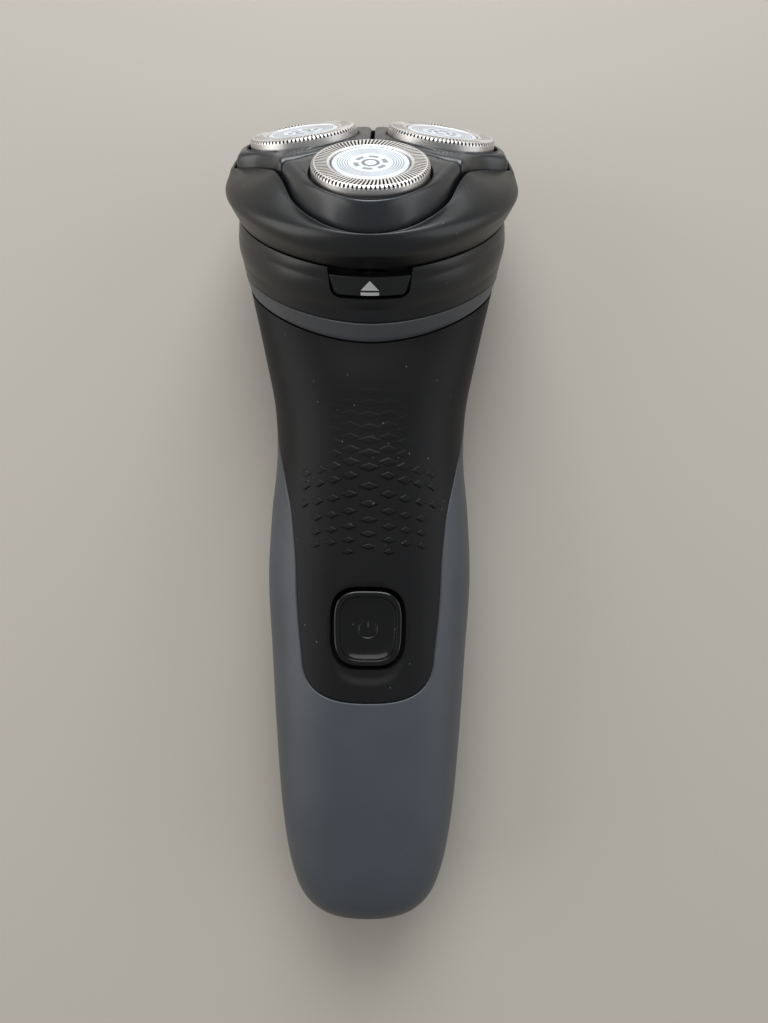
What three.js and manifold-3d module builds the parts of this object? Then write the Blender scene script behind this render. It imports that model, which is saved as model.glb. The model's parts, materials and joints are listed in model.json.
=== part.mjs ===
// Rotary electric shaver with three floating heads, lying on its back.
// Sizes in millimetres. +X runs across the handle, +Y towards the head, +Z up off the table.
// The head pieces are drawn in their own frame: +Z is the shaving direction, and +Y the back of the head.
import * as THREE from "three";
import { mergeVertices } from "three/addons/utils/BufferGeometryUtils.js";
import Module from "manifold-3d";

const wasm = await Module();
wasm.setup();

// ---- driving sizes ----
const GAP = 0.3; // between pieces that touch
const WALL = 1.6; // moulded shells
const AROUND = 36; // points round a moulded section

// Handle: its length, and its half widths and half depths at named places.
const HANDLE = { length: 119.6, neckWidth: 22.2, waistWidth: 19.8, palmWidth: 21.4, tailWidth: 17.7 };
const DEPTH = { neck: 18.2, palm: 17.2, tail: 13.6 };
const BACK_FLAT = 0.5; // depth of the flat that the handle rests on
const PARTING_HEIGHT = 12.5; // of the line between the front and back shells, above the table

// Head: where its frame stands, how far it leans forward, and its outline.
const HEAD = { y: 73.3, z: 33.3, lean: 34.2, halfWidth: 29.1, front: 30.3, back: 24.5, widestAt: 4 };
// Shaving caps: circle is the radius that they stand on, and track runs from a cap's rim to its disc.
const CAP = { diameter: 22, circle: 16.46, tilt: 8.6, height: 6, track: 3.8 };
// Petals: sunk below the caps' tops; half the gap between neighbours; room to rock inside the head frame.
const PETAL = { sunk: 1.7, gap: 0.4, thickness: 2.2, skirt: 2.4, edgeGap: 0.6, boreGap: 0.55 };

// Drive train: module 1 gears, drawn with teeth that clear each other by GAP.
const GEAR = { module: 1, pinion: 6, wheel: 16, centre: 21, drive: 10, face: 3 };
const LEVEL = { chamberFloor: -22.5, gears: -26, wheel: -29.8, plate: -32.6, motor: -34.5 };
const SPINDLE = { radius: 1.5, tip: 1.2, top: -6.2 };
const SHAFT = { centre: 1.2, motor: 0.8, boss: 1.4, plateHole: 2.6 };
const MOTOR = { radius: 8.5, length: 17, cap: 2.4 };
const BATTERY = { radius: 7, length: 50 };

// Controls.
const POWER = { y: -23.1, width: 13.4, length: 14.9, corner: 3.6, surround: 0.6, travel: 0.6 };
const RELEASE = { width: 14.6, height: 3.7, depth: 3.2, level: -20.3 };
const SOCKET = { width: 8, height: 5.2, recess: 8, body: 10, wall: 1.5, z: 16.2 };
const SOCKET_PIN = { radius: 0.6, spacing: 4.8, length: 3 };
const HINGE = { y: 22.4, level: -15.2, pinRadius: 0.8, barrel: 1.7, knuckle: 6, arm: 4, web: 2.6 };

// ---- colours ----
const FINISH = {
  slate: [0x44474b, 0.5, 0],
  black: [0x1b1b1c, 0.45, 0],
  satin: [0x232324, 0.4, 0],
  petal: [0x37383a, 0.4, 0.1],
  ring: [0x45474a, 0.4, 0.2],
  steel: [0xc8c8c6, 0.25, 1],
  brass: [0xb08d4c, 0.35, 1],
  nylon: [0xd8d8d0, 0.6, 0],
  rubber: [0x161616, 0.8, 0],
  board: [0x1f5b36, 0.6, 0],
  cell: [0x2c5c96, 0.5, 0],
};

// ---- solids ----
const MERGE = 1e-4; // points closer than this are one

// A closed three.js geometry as a solid that can be joined and cut.
function solid(geometry) {
  const bare = (geometry.index ? geometry : mergeVertices(geometry)).clone();
  bare.deleteAttribute("normal");
  bare.deleteAttribute("uv");
  const merged = mergeVertices(bare, MERGE);
  return new wasm.Manifold(
    new wasm.Mesh({
      numProp: 3,
      vertProperties: merged.attributes.position.array,
      triVerts: new Uint32Array(merged.index.array),
    }),
  );
}

// The solid back as a geometry.
function geometryOf(made) {
  const mesh = made.getMesh();
  const geometry = new THREE.BufferGeometry();
  geometry.setAttribute("position", new THREE.BufferAttribute(mesh.vertProperties, 3));
  geometry.setIndex(new THREE.BufferAttribute(mesh.triVerts, 1));
  return geometry;
}

const cut = (body, ...tools) =>
  geometryOf(tools.reduce((left, tool) => left.subtract(solid(tool)), solid(body)));
const join = (...pieces) => geometryOf(pieces.map(solid).reduce((whole, piece) => whole.add(piece)));
const common = (a, b) => geometryOf(solid(a).intersect(solid(b)));

// A surface through rings of points, fan-capped at both ends, or joined last ring to first when looped.
function through(rings, looped = false) {
  const around = rings[0].length;
  const points = rings.flat();
  const faces = [];
  const bands = looped ? rings.length : rings.length - 1;
  for (let i = 0; i < bands; i++) {
    const next = (i + 1) % rings.length;
    for (let j = 0; j < around; j++) {
      const k = (j + 1) % around;
      faces.push(i * around + j, i * around + k, next * around + k);
      faces.push(i * around + j, next * around + k, next * around + j);
    }
  }
  if (!looped) {
    [0, rings.length - 1].forEach((ring, end) => {
      const centre = rings[ring].reduce((sum, p) => sum.add(p), new THREE.Vector3()).divideScalar(around);
      points.push(centre);
      for (let j = 0; j < around; j++) {
        const a = ring * around + j;
        const b = ring * around + ((j + 1) % around);
        faces.push(points.length - 1, ...(end ? [a, b] : [b, a]));
      }
    });
  }
  const geometry = new THREE.BufferGeometry().setFromPoints(points);
  geometry.setIndex(faces);
  return volumeOf(geometry) < 0 ? turnedInsideOut(geometry) : geometry;
}

function volumeOf(geometry) {
  const corners = [0, 1, 2].map(() => new THREE.Vector3());
  let sum = 0;
  for (let i = 0; i < geometry.index.count; i += 3) {
    corners.forEach((corner, n) =>
      corner.fromBufferAttribute(geometry.attributes.position, geometry.index.getX(i + n)));
    sum += corners[0].dot(corners[1].cross(corners[2]));
  }
  return sum;
}

function turnedInsideOut(geometry) {
  const faces = Array.from(geometry.index.array);
  for (let i = 0; i < faces.length; i += 3) [faces[i + 1], faces[i + 2]] = [faces[i + 2], faces[i + 1]];
  geometry.setIndex(faces);
  return geometry;
}

// A turned piece about Z from [radius, height] pairs.
function turned(profile, segments = 24) {
  const points = profile.map(([r, z]) => new THREE.Vector2(r, z));
  const geometry = new THREE.LatheGeometry(points, segments);
  geometry.rotateX(Math.PI / 2);
  const merged = mergeVertices(geometry.deleteAttribute("uv").deleteAttribute("normal"), MERGE);
  return volumeOf(merged) < 0 ? turnedInsideOut(merged) : merged;
}

const rod = (radius, from, to, segments = 20) =>
  turned([[0, from], [radius, from], [radius, to], [0, to]], segments);
const tube = (inner, outer, from, to, segments = 24) =>
  turned([[inner, from], [outer, from], [outer, to], [inner, to], [inner, from]], segments);

function box(width, length, height, x, y, z) {
  return new THREE.BoxGeometry(width, length, height).translate(x, y, z);
}

// A rounded rectangle of the XY plane, raised along Z.
function roundedBlock(width, length, corner, from, to) {
  const [w, l] = [width / 2, length / 2];
  const shape = new THREE.Shape();
  shape.absarc(w - corner, l - corner, corner, 0, Math.PI / 2);
  shape.absarc(-w + corner, l - corner, corner, Math.PI / 2, Math.PI);
  shape.absarc(-w + corner, -l + corner, corner, Math.PI, 1.5 * Math.PI);
  shape.absarc(w - corner, -l + corner, corner, 1.5 * Math.PI, 2 * Math.PI);
  return raised(shape, from, to, 5);
}

function raised(shape, from, to, curveSegments = 12) {
  const options = { depth: to - from, bevelEnabled: false, curveSegments };
  return new THREE.ExtrudeGeometry(shape, options).translate(0, 0, from);
}

// ---- sections ----
const radians = THREE.MathUtils.degToRad;

// One point of an oval whose front and back halves differ in depth and fullness. Turn 0 is +X, 90 the back.
function ovalPoint(oval, turn) {
  const [c, s] = [Math.cos(turn), Math.sin(turn)];
  const back = s > 0;
  const fullness = 2 / (back ? oval.backFullness : oval.frontFullness);
  const depth = back ? oval.back - oval.widestAt : oval.front + oval.widestAt;
  const x = oval.halfWidth * Math.sign(c) * Math.abs(c) ** fullness;
  return [x, oval.widestAt + depth * Math.sign(s) * Math.abs(s) ** fullness];
}

// A closed ring on an oval. Its level swings between the sides, the front and the back.
function headRing(oval, side, front, back, inset = 0) {
  const inner = {
    ...oval,
    halfWidth: oval.halfWidth - inset,
    front: oval.front - inset,
    back: oval.back - inset,
  };
  return Array.from({ length: AROUND }, (_, j) => {
    const turn = (2 * Math.PI * j) / AROUND;
    const [x, y] = ovalPoint(inner, turn);
    const s = Math.sin(turn);
    return new THREE.Vector3(x, y, side + ((s > 0 ? back : front) - side) * s * s);
  });
}

const headFrame = new THREE.Matrix4()
  .makeTranslation(0, HEAD.y, HEAD.z)
  .multiply(new THREE.Matrix4().makeRotationX(-radians(90 - HEAD.lean)));

const inHandle = (ring) => ring.map((p) => p.clone().applyMatrix4(headFrame));

// Ovals of the head: at the rim of the wings, at their widest, at the split from the collar, and on down.
const oval = (halfWidth, front, back, widestAt) =>
  ({ halfWidth, front, back, widestAt, frontFullness: 1.85, backFullness: 3 });
const RIM = oval(HEAD.halfWidth, HEAD.front, HEAD.back, HEAD.widestAt);
const WIDEST = oval(HEAD.halfWidth + 0.7, HEAD.front - 0.1, HEAD.back, HEAD.widestAt);
const SPLIT = oval(HEAD.halfWidth - 1.8, HEAD.front - 3.3, HEAD.back - 2, 2);
const BELLY = oval(SPLIT.halfWidth + 0.3, SPLIT.front - 0.4, SPLIT.back - 1, 1);
const CREASE = oval(SPLIT.halfWidth - 0.3, SPLIT.front - 1.7, SPLIT.back - 3, -1);
const COLLAR = oval(SPLIT.halfWidth - 0.9, SPLIT.front - 2.2, SPLIT.back - 3.6, -2);
const NECK = oval(SPLIT.halfWidth - 2, SPLIT.front - 3, SPLIT.back - 5.4, -4.3);

// Their levels in the head's frame: at the sides, the front and the back.
const SPLIT_LEVELS = [-14.9, -16.6, -13.6];
const COLLAR_LEVELS = [-25.3, -27.9, -24.6];
const NECK_LEVELS = [-28.4, -32.3, -27.2];
const WIDEST_LEVELS = [-10.8, -13, -10.6];
const RIM_LEVELS = [-7.6, -9.8, -8];
const lowered = (levels, by) => levels.map((level) => level - by);

// Handle sections: place along Y, height, lean in degrees, half width, half depth.
const NECK_Y = 33;
const TAIL_Y = NECK_Y - HANDLE.length;
const HANDLE_SECTIONS = [
  [TAIL_Y + 0.4, 16.2, 0, HANDLE.tailWidth - 11.6, DEPTH.tail - 8.6],
  [TAIL_Y + 1.2, 16.2, 0, HANDLE.tailWidth - 8.4, DEPTH.tail - 5.9],
  [TAIL_Y + 2.8, 16.2, 0, HANDLE.tailWidth - 6, DEPTH.tail - 4.3],
  [TAIL_Y + 5.6, 16.1, -1, HANDLE.tailWidth - 3.6, DEPTH.tail - 2.6],
  [TAIL_Y + 10.6, 16.1, -2, HANDLE.tailWidth - 1.8, DEPTH.tail - 1.3],
  [TAIL_Y + 19.6, 16.2, -2, HANDLE.tailWidth, DEPTH.tail],
  [TAIL_Y + 36.6, 16.6, -1, HANDLE.palmWidth - 2.1, DEPTH.palm - 1.9],
  [TAIL_Y + 56.6, 17, 0, HANDLE.palmWidth - 0.9, DEPTH.palm - 0.5],
  [-12, 17.2, 1, HANDLE.palmWidth, DEPTH.palm],
  [0, 17.2, 3, HANDLE.palmWidth - 0.6, DEPTH.palm],
  [12, 17.3, 7, HANDLE.waistWidth, DEPTH.palm + 0.1],
  [22, 17.6, 14, HANDLE.waistWidth + 0.4, DEPTH.palm + 0.4],
  [NECK_Y, 18.4, 24, HANDLE.neckWidth, DEPTH.neck],
];

function handleRing([y, z, lean, halfWidth, halfDepth], inset) {
  const oval = {
    halfWidth: halfWidth - inset,
    front: halfDepth - inset,
    back: halfDepth - inset,
    widestAt: 0,
    frontFullness: 2.2,
    backFullness: 2.3,
  };
  const across = radians(lean);
  return Array.from({ length: AROUND }, (_, j) => {
    const [x, depth] = ovalPoint(oval, (2 * Math.PI * j) / AROUND);
    return new THREE.Vector3(x, y + depth * Math.sin(across), z - depth * Math.cos(across));
  });
}

// The handle as one solid, with its skin moved inwards by inset.
const handleSolid = (inset) =>
  through([...HANDLE_SECTIONS.map((section) => handleRing(section, inset)),
    inHandle(headRing(NECK, ...lowered(NECK_LEVELS, GAP), inset))]);

// The handle as a cup: outer skin from the tail to the neck, over the lip, and back down inside.
function handleCup(outerInset, wall) {
  const outer = HANDLE_SECTIONS.map((section) => handleRing(section, outerInset));
  outer.push(inHandle(headRing(NECK, ...lowered(NECK_LEVELS, GAP), outerInset)));
  const inset = outerInset + wall;
  const inner = HANDLE_SECTIONS.slice(2).map((section, n) => {
    const [y, ...rest] = section;
    return handleRing([n === 0 ? y + 0.3 : y, ...rest], inset);
  });
  inner.push(inHandle(headRing(NECK, ...lowered(NECK_LEVELS, GAP), inset)));
  return through([...outer, ...inner.reverse()]);
}

// ---- the cutting tools that share the handle out among its shells ----
const FAR = 200; // beyond any piece

// The half space above (or below) the parting line, which climbs a little at the neck.
function partingBlock(above, clearance) {
  const climb = [[-FAR, 0], [10, 0], [30, 1.5], [FAR, 40]];
  const start = PARTING_HEIGHT + (above ? clearance : -clearance);
  const shape = new THREE.Shape(climb.map(([y, rise]) => new THREE.Vector2(y, start + rise)));
  shape.lineTo(FAR, above ? FAR : -FAR);
  shape.lineTo(-FAR, above ? FAR : -FAR);
  const block = raised(shape, -FAR, FAR);
  // Drawn with X along Y and Y along Z, then stood up.
  block.applyMatrix4(new THREE.Matrix4().makeBasis(
    new THREE.Vector3(0, 1, 0), new THREE.Vector3(0, 0, 1), new THREE.Vector3(1, 0, 0)));
  return block;
}

// The grip panel's outline: it widens up the handle until it wraps round the sides of the neck.
const PANEL = { bottomY: -38.1, bottomHalf: 12.9, corner: 7.5, palmY: -9.7, palmHalf: 14.6 };
const PANEL_NECK = { waistY: 6.7, waistHalf: 16.9, outY: 21 };

function panelBlock(offset) {
  const shape = new THREE.Shape();
  const half = PANEL.bottomHalf + offset;
  const bottom = PANEL.bottomY - offset;
  const palm = PANEL.palmHalf + offset;
  const waist = PANEL_NECK.waistHalf + offset;
  const out = PANEL_NECK.outY - offset;
  const edge = HANDLE.waistWidth + offset;
  shape.moveTo(-half + PANEL.corner, bottom);
  shape.lineTo(half - PANEL.corner, bottom);
  shape.quadraticCurveTo(half, bottom, half, bottom + PANEL.corner);
  shape.lineTo(palm, PANEL.palmY);
  shape.quadraticCurveTo(waist - 1, PANEL_NECK.waistY - 3.7, waist, PANEL_NECK.waistY);
  shape.quadraticCurveTo(edge - 1, PANEL_NECK.outY - 8, edge + 6, out);
  shape.lineTo(FAR, out);
  shape.lineTo(FAR, FAR);
  shape.lineTo(-FAR, FAR);
  shape.lineTo(-FAR, out);
  shape.lineTo(-edge - 6, out);
  shape.quadraticCurveTo(-edge + 1, PANEL_NECK.outY - 8, -waist, PANEL_NECK.waistY);
  shape.quadraticCurveTo(-waist + 1, PANEL_NECK.waistY - 3.7, -palm, PANEL.palmY);
  shape.lineTo(-half, bottom + PANEL.corner);
  shape.quadraticCurveTo(-half, bottom, -half + PANEL.corner, bottom);
  return raised(shape, -FAR, FAR, 5);
}

function powerBlock(offset, from, to) {
  const [width, length] = [POWER.width + 2 * offset, POWER.length + 2 * offset];
  return roundedBlock(width, length, POWER.corner + offset, from, to).translate(0, POWER.y, 0);
}

// ---- scene graph ----
const shaver = new THREE.Group();
const handle = new THREE.Group();
const head = new THREE.Group();
head.applyMatrix4(headFrame);
handle.add(head);
shaver.add(handle);

function piece(name, geometry, finish, parent = handle) {
  const [color, roughness, metalness] = FINISH[finish];
  const mesh = new THREE.Mesh(geometry, new THREE.MeshStandardMaterial({ color, roughness, metalness }));
  mesh.name = name;
  parent.add(mesh);
  return mesh;
}

// ---- handle shells ----
const handleWalls = handleCup(0, WALL);
const frontWalls = common(handleWalls, partingBlock(true, GAP / 2));
const backWalls = common(handleWalls, partingBlock(false, GAP / 2));
const socketMouth = box(SOCKET.width, 24, SOCKET.height, 0, TAIL_Y + 1.2, SOCKET.z);

piece("front_shell", cut(frontWalls, panelBlock(GAP), socketMouth), "slate");
piece("front_panel", cut(common(frontWalls, panelBlock(0)), powerBlock(POWER.surround, 20, 60)), "black");

// Four bosses inside the back shell take the screws that hold the chassis.
const CHASSIS = { bottom: 8.6, thickness: 2, halfWidth: 12.2, from: TAIL_Y + 15, to: 12 };
const BOSS = { x: 9.9, radius: 2.3, inset: 5, boreFrom: 3.6 };
const BOSSES = [CHASSIS.from + BOSS.inset, CHASSIS.to - BOSS.inset].flatMap((y) => [[-BOSS.x, y], [BOSS.x, y]]);
const SCREW = { shank: 0.9, head: 1.9, length: 4.4 };
const screwHole = ([x, y], from) => rod(SCREW.shank + GAP, from, 20, 12).translate(x, y, 0);

function backShell() {
  const core = handleSolid(WALL / 2);
  const bosses = BOSSES.map(([x, y]) =>
    common(rod(BOSS.radius, 0, CHASSIS.bottom - GAP, 14).translate(x, y, 0), core));
  const bores = BOSSES.map((place) => screwHole(place, BOSS.boreFrom));
  const underTable = box(60, FAR, 10, 0, 0, BACK_FLAT - 5);
  return cut(join(backWalls, ...bosses), ...bores, underTable, socketMouth);
}
piece("back_shell", backShell(), "black");

// ---- chassis, battery, board ----
const chassisTop = CHASSIS.bottom + CHASSIS.thickness;
const BATTERY_Z = chassisTop + GAP + BATTERY.radius;
const LUG = { width: 16, thickness: 1.6, height: 8, root: 1 };
const CONTACT = { width: 7, height: 8, thickness: 0.5 };
const socketFront = TAIL_Y + 2.9 + WALL + GAP;
const pinTail = SOCKET.recess + SOCKET_PIN.length - SOCKET.body;
const lugOffset = CONTACT.thickness + 2 * GAP + LUG.thickness / 2;
const batteryFrom = socketFront + SOCKET.body + pinTail + 2 * GAP + LUG.thickness / 2 + lugOffset;
const batteryTo = batteryFrom + BATTERY.length;

// A lug stands on the chassis and is rooted in it.
function lug(y) {
  const height = LUG.height + LUG.root;
  return box(LUG.width, LUG.thickness, height, 0, y, chassisTop - LUG.root + height / 2);
}

function chassis() {
  const [length, middle] = [CHASSIS.to - CHASSIS.from, (CHASSIS.to + CHASSIS.from) / 2];
  const height = CHASSIS.bottom + CHASSIS.thickness / 2;
  const plate = box(2 * CHASSIS.halfWidth, length, CHASSIS.thickness, 0, middle, height);
  const holes = BOSSES.map((place) => screwHole(place, 0));
  const window = box(9, BATTERY.length - 16, 20, 0, (batteryFrom + batteryTo) / 2, CHASSIS.bottom);
  return cut(join(plate, lug(batteryFrom - lugOffset), lug(batteryTo + lugOffset)), ...holes, window);
}
piece("chassis", chassis(), "satin");

BOSSES.forEach(([x, y], n) => {
  const top = chassisTop + GAP;
  const screw = turned([
    [0, top + 1.4], [SCREW.head, top + 1], [SCREW.head, top], [SCREW.shank, top],
    [SCREW.shank, top - SCREW.length], [0, top - SCREW.length - 0.6],
  ], 12);
  piece(`chassis_screw_${n + 1}`, screw.translate(x, y, 0), "steel");
});

const alongY = (geometry) => geometry.rotateX(-Math.PI / 2);
const cell = alongY(rod(BATTERY.radius, 0, BATTERY.length, 28));
piece("battery", cell.translate(0, batteryFrom, BATTERY_Z), "cell");
const contactOffset = GAP + CONTACT.thickness / 2;
[["rear", batteryFrom - contactOffset], ["front", batteryTo + contactOffset]].forEach(([end, y]) => {
  const contact = box(CONTACT.width, CONTACT.thickness, CONTACT.height, 0, y, BATTERY_Z);
  piece(`battery_contact_${end}`, contact, "steel");
});

const BOARD = { width: 18, length: 50, middle: POWER.y + 1, corner: 2, thickness: 1.2 };
const SWITCH = { side: 6, height: 2.2 };
const boardBottom = BATTERY_Z + BATTERY.radius + 0.5;
const boardTop = boardBottom + BOARD.thickness;
const board = roundedBlock(BOARD.width, BOARD.length, BOARD.corner, boardBottom, boardTop);
piece("circuit_board", board.translate(0, BOARD.middle, 0), "board");
const switchTop = boardTop + GAP + SWITCH.height;
const tactSwitch = box(SWITCH.side, SWITCH.side, SWITCH.height, 0, POWER.y, switchTop - SWITCH.height / 2);
piece("tact_switch", tactSwitch, "satin");

// ---- power button ----
// A stepped crown in the panel's well, over a stem that ends the button's travel above the switch.
const CROWN = { step: 0.75, rise: 0.6, thickness: 2, stem: 1.6 };
const buttonFace = 17.1 + DEPTH.palm - GAP;

function powerButton() {
  const shoulder = buttonFace - CROWN.rise;
  const bottom = shoulder - CROWN.thickness;
  const base = powerBlock(0, bottom, shoulder);
  const crown = powerBlock(-CROWN.step, bottom, buttonFace);
  const stem = rod(CROWN.stem, switchTop + GAP + POWER.travel, shoulder - 1.4, 14).translate(0, POWER.y, 0);
  return join(base, crown, stem);
}
piece("power_button", powerButton(), "black");

// ---- charging socket ----
const pinPlace = (side) => (side * SOCKET_PIN.spacing) / 2;

function chargingSocket() {
  const [width, height] = [SOCKET.width + 2 * SOCKET.wall, SOCKET.height + 2 * SOCKET.wall];
  const body = box(width, SOCKET.body, height, 0, socketFront + SOCKET.body / 2, SOCKET.z);
  const recess = box(SOCKET.width - 2 * GAP, 2 * SOCKET.recess, SOCKET.height - 0.4, 0, socketFront, SOCKET.z);
  const bores = [-1, 1].map((side) =>
    alongY(rod(SOCKET_PIN.radius + GAP, 0, 30, 10)).translate(pinPlace(side), socketFront, SOCKET.z));
  return cut(body, recess, ...bores);
}
piece("charging_socket", chargingSocket(), "black");
[["left", -1], ["right", 1]].forEach(([name, side]) => {
  const pin = alongY(rod(SOCKET_PIN.radius, 0, 2 * SOCKET_PIN.length, 10));
  const start = socketFront + SOCKET.recess - SOCKET_PIN.length;
  piece(`socket_pin_${name}`, pin.translate(pinPlace(side), start, SOCKET.z), "brass");
});

// ---- collar ring and hair chamber ----
const bandOf = (outer, inner) => through([...outer, ...inner.reverse()], true);

piece(
  "collar_ring",
  bandOf(
    [headRing(NECK, ...NECK_LEVELS), headRing(COLLAR, ...lowered(COLLAR_LEVELS, GAP))],
    [headRing(NECK, ...NECK_LEVELS, WALL), headRing(COLLAR, ...lowered(COLLAR_LEVELS, GAP), WALL)],
  ),
  "ring",
  head,
);

// Where each cap stands: bearing about the head's axis.
const CAPS = [["front", -90], ["right", 30], ["left", 150]];
const SPINDLE_CIRCLE = (GEAR.module * (GEAR.centre + GEAR.drive)) / 2;
const bearingPoint = (bearing, radius) =>
  [radius * Math.cos(radians(bearing)), radius * Math.sin(radians(bearing))];
const overSpindle = (geometry, bearing) => geometry.translate(...bearingPoint(bearing, SPINDLE_CIRCLE), 0);
const CHAMBER = { floor: 2, bore: 4 };

// The chamber's rings from the collar to the split, at its skin or set in.
const CHAMBER_BAND = 2.6;
const chamberRings = (inset) => [
  headRing(COLLAR, ...COLLAR_LEVELS, inset),
  headRing(CREASE, ...lowered(COLLAR_LEVELS, -CHAMBER_BAND), inset),
  headRing(BELLY, ...lowered(SPLIT_LEVELS, CHAMBER_BAND), inset),
  headRing(SPLIT, ...lowered(SPLIT_LEVELS, GAP), inset),
];

// The flip hinge runs across the back of the head: a knuckle on the head frame between two arms of the chamber.
const acrossX = (geometry) => geometry.rotateY(Math.PI / 2);
const atHinge = (geometry, x = 0) => geometry.translate(x, HINGE.y, HINGE.level);
const hingeReach = HINGE.knuckle / 2 + GAP + HINGE.arm;
const hingeBore = () => atHinge(acrossX(rod(HINGE.pinRadius + GAP, -30, 30, 12)));

function hingeArm(side) {
  const barrel = acrossX(rod(HINGE.barrel, -HINGE.arm / 2, HINGE.arm / 2, 16));
  const web = box(HINGE.arm, HINGE.web, 6.4, 0, -1.5, -4);
  return atHinge(join(barrel, web), side * (hingeReach - HINGE.arm / 2));
}

function hairChamber() {
  const wall = bandOf(chamberRings(0), chamberRings(WALL));
  const level = (height) => headRing(CREASE, height, height, height, WALL / 2);
  const floor = through([level(LEVEL.chamberFloor - CHAMBER.floor), level(LEVEL.chamberFloor)]);
  const bores = CAPS.map(([, bearing]) => overSpindle(rod(CHAMBER.bore, -40, 0, 20), bearing));
  const [width, height] = [RELEASE.width + 2 * GAP, RELEASE.height + 2 * GAP];
  const slot = box(width, 14, height, 0, -COLLAR.front - 2, RELEASE.level);
  const side = HINGE.knuckle / 2 + GAP;
  const relief = atHinge(acrossX(rod(HINGE.barrel + GAP, -side, side, 16)));
  return cut(join(wall, floor, hingeArm(-1), hingeArm(1)), ...bores, slot, relief, hingeBore());
}
piece("hair_chamber", hairChamber(), "satin", head);

piece("hinge_pin", atHinge(acrossX(rod(HINGE.pinRadius, -hingeReach, hingeReach, 12))), "steel", head);

// Release button: a bar in the collar's slot with a latch tongue behind it.
function releaseButton() {
  const face = -BELLY.front - 0.2;
  const bar = box(RELEASE.width, RELEASE.depth, RELEASE.height, 0, face + RELEASE.depth / 2, RELEASE.level);
  const tongue = box(5, 2.4, 2, 0, face + RELEASE.depth + 1, RELEASE.level);
  return join(bar, tongue);
}
piece("release_button", releaseButton(), "satin", head);

// ---- drive train ----
// A spur gear with straight-sided teeth. Its tips stop short of the pitch circle by half of GAP.
function gear(teeth, from, to, bore) {
  const tip = (GEAR.module * teeth) / 2 - GAP / 2;
  const root = tip - 1.1 * GEAR.module;
  const pitch = (2 * Math.PI) / teeth;
  const points = [];
  for (let n = 0; n < teeth; n++) {
    [[0.12, root], [0.34, tip], [0.66, tip], [0.88, root]].forEach(([share, radius]) => {
      const turn = (n + share) * pitch;
      points.push(new THREE.Vector2(radius * Math.cos(turn), radius * Math.sin(turn)));
    });
  }
  const shape = new THREE.Shape(points);
  if (bore) shape.holes.push(new THREE.Path().absarc(0, 0, bore, 0, 2 * Math.PI, true));
  return raised(shape, from, to, 8);
}

// The centre gear's lower wheel meets the motor's pinion, and its upper one the three drive gears.
const gearsBottom = LEVEL.gears - GEAR.face;
const centreBore = SHAFT.centre + GAP;
const centreGear = join(
  gear(GEAR.centre, gearsBottom, LEVEL.gears, centreBore),
  gear(GEAR.wheel, LEVEL.wheel - 2, LEVEL.wheel + 1.4, centreBore),
);
piece("centre_gear", centreGear, "nylon", head);

function spindle() {
  const { radius, tip, top } = SPINDLE;
  const bottom = LEVEL.plate + GAP;
  return turned([
    [0, bottom], [radius, bottom], [radius, top - 4], [tip, top - 3.4], [tip, top - 0.5], [0, top],
  ], 12);
}

function spindleSeal() {
  const bottom = LEVEL.chamberFloor - CHAMBER.floor - 0.6;
  return tube(SPINDLE.radius + GAP, CHAMBER.bore - GAP, bottom, LEVEL.chamberFloor + 0.8, 20);
}

CAPS.forEach(([side, bearing]) => {
  const driveGear = gear(GEAR.drive, gearsBottom, LEVEL.gears, SPINDLE.radius + GAP);
  piece(`drive_gear_${side}`, overSpindle(driveGear, bearing), "nylon", head);
  piece(`drive_spindle_${side}`, overSpindle(spindle(), bearing), "steel", head);
  piece(`spindle_seal_${side}`, overSpindle(spindleSeal(), bearing), "rubber", head);
});

const MOTOR_Y = -(GEAR.module * (GEAR.wheel + GEAR.pinion)) / 2;
const overMotor = (geometry) => geometry.translate(0, MOTOR_Y, 0);

// The gear plate fills the neck, clear of the shells, and carries the centre gear's post.
function gearPlate() {
  const ring = (height) => headRing({ ...NECK, back: NECK.back - 5 }, height, height, height, WALL + 2);
  const plate = through([ring(LEVEL.plate - 1.4), ring(LEVEL.plate)]);
  const inNeck = handleSolid(WALL + GAP).applyMatrix4(headFrame.clone().invert());
  const post = rod(SHAFT.centre, LEVEL.plate - 0.5, LEVEL.gears + 1, 12);
  return cut(join(common(plate, inNeck), post), overMotor(rod(SHAFT.plateHole, -60, 0, 16)));
}
piece("gear_plate", gearPlate(), "nylon", head);

const motorBottom = LEVEL.motor - MOTOR.length;
const pinionTop = LEVEL.wheel + 0.2;
const capTop = motorBottom - GAP;
const motorCan = tube(SHAFT.boss, MOTOR.radius, motorBottom, LEVEL.motor, 28);
const motorCap = tube(SHAFT.boss, MOTOR.radius - 1, capTop - MOTOR.cap, capTop, 24);
piece("motor_can", overMotor(motorCan), "steel", head);
piece("motor_end_cap", overMotor(motorCap), "black", head);
const rotor = join(
  gear(GEAR.pinion, LEVEL.wheel - 2.2, pinionTop, 0),
  rod(SHAFT.motor, motorBottom + 1, pinionTop - 1, 12),
);
piece("motor_pinion", overMotor(rotor), "brass", head);

// ---- head unit: frame, retaining frame and lock ----
// Bearing, reach and height of the petals' outer edge, for one side of the head from front to back.
const PETAL_EDGE = [
  [-90, 28.8, -8.5], [-78, 27.6, -8.2], [-66, 25.4, -7.3], [-52, 22.9, -5.8], [-40, 20.8, -3.9],
  [-30, 20, -3.1], [-14, 20.4, -3.7], [-2, 23, -4.6], [8, 28.4, -5.7], [21, 29.8, -5.2],
  [38, 30.4, -4.6], [53, 27.6, -4.4], [70, 22.6, -3], [90, 20, -1.8],
];

// The same bearing on the right-hand side of the head, from -90 at the front to 90 at the back.
function folded(bearing) {
  const round = ((bearing % 360) + 360) % 360;
  if (round > 90 && round < 270) return 180 - round;
  return round > 180 ? round - 360 : round;
}

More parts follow.
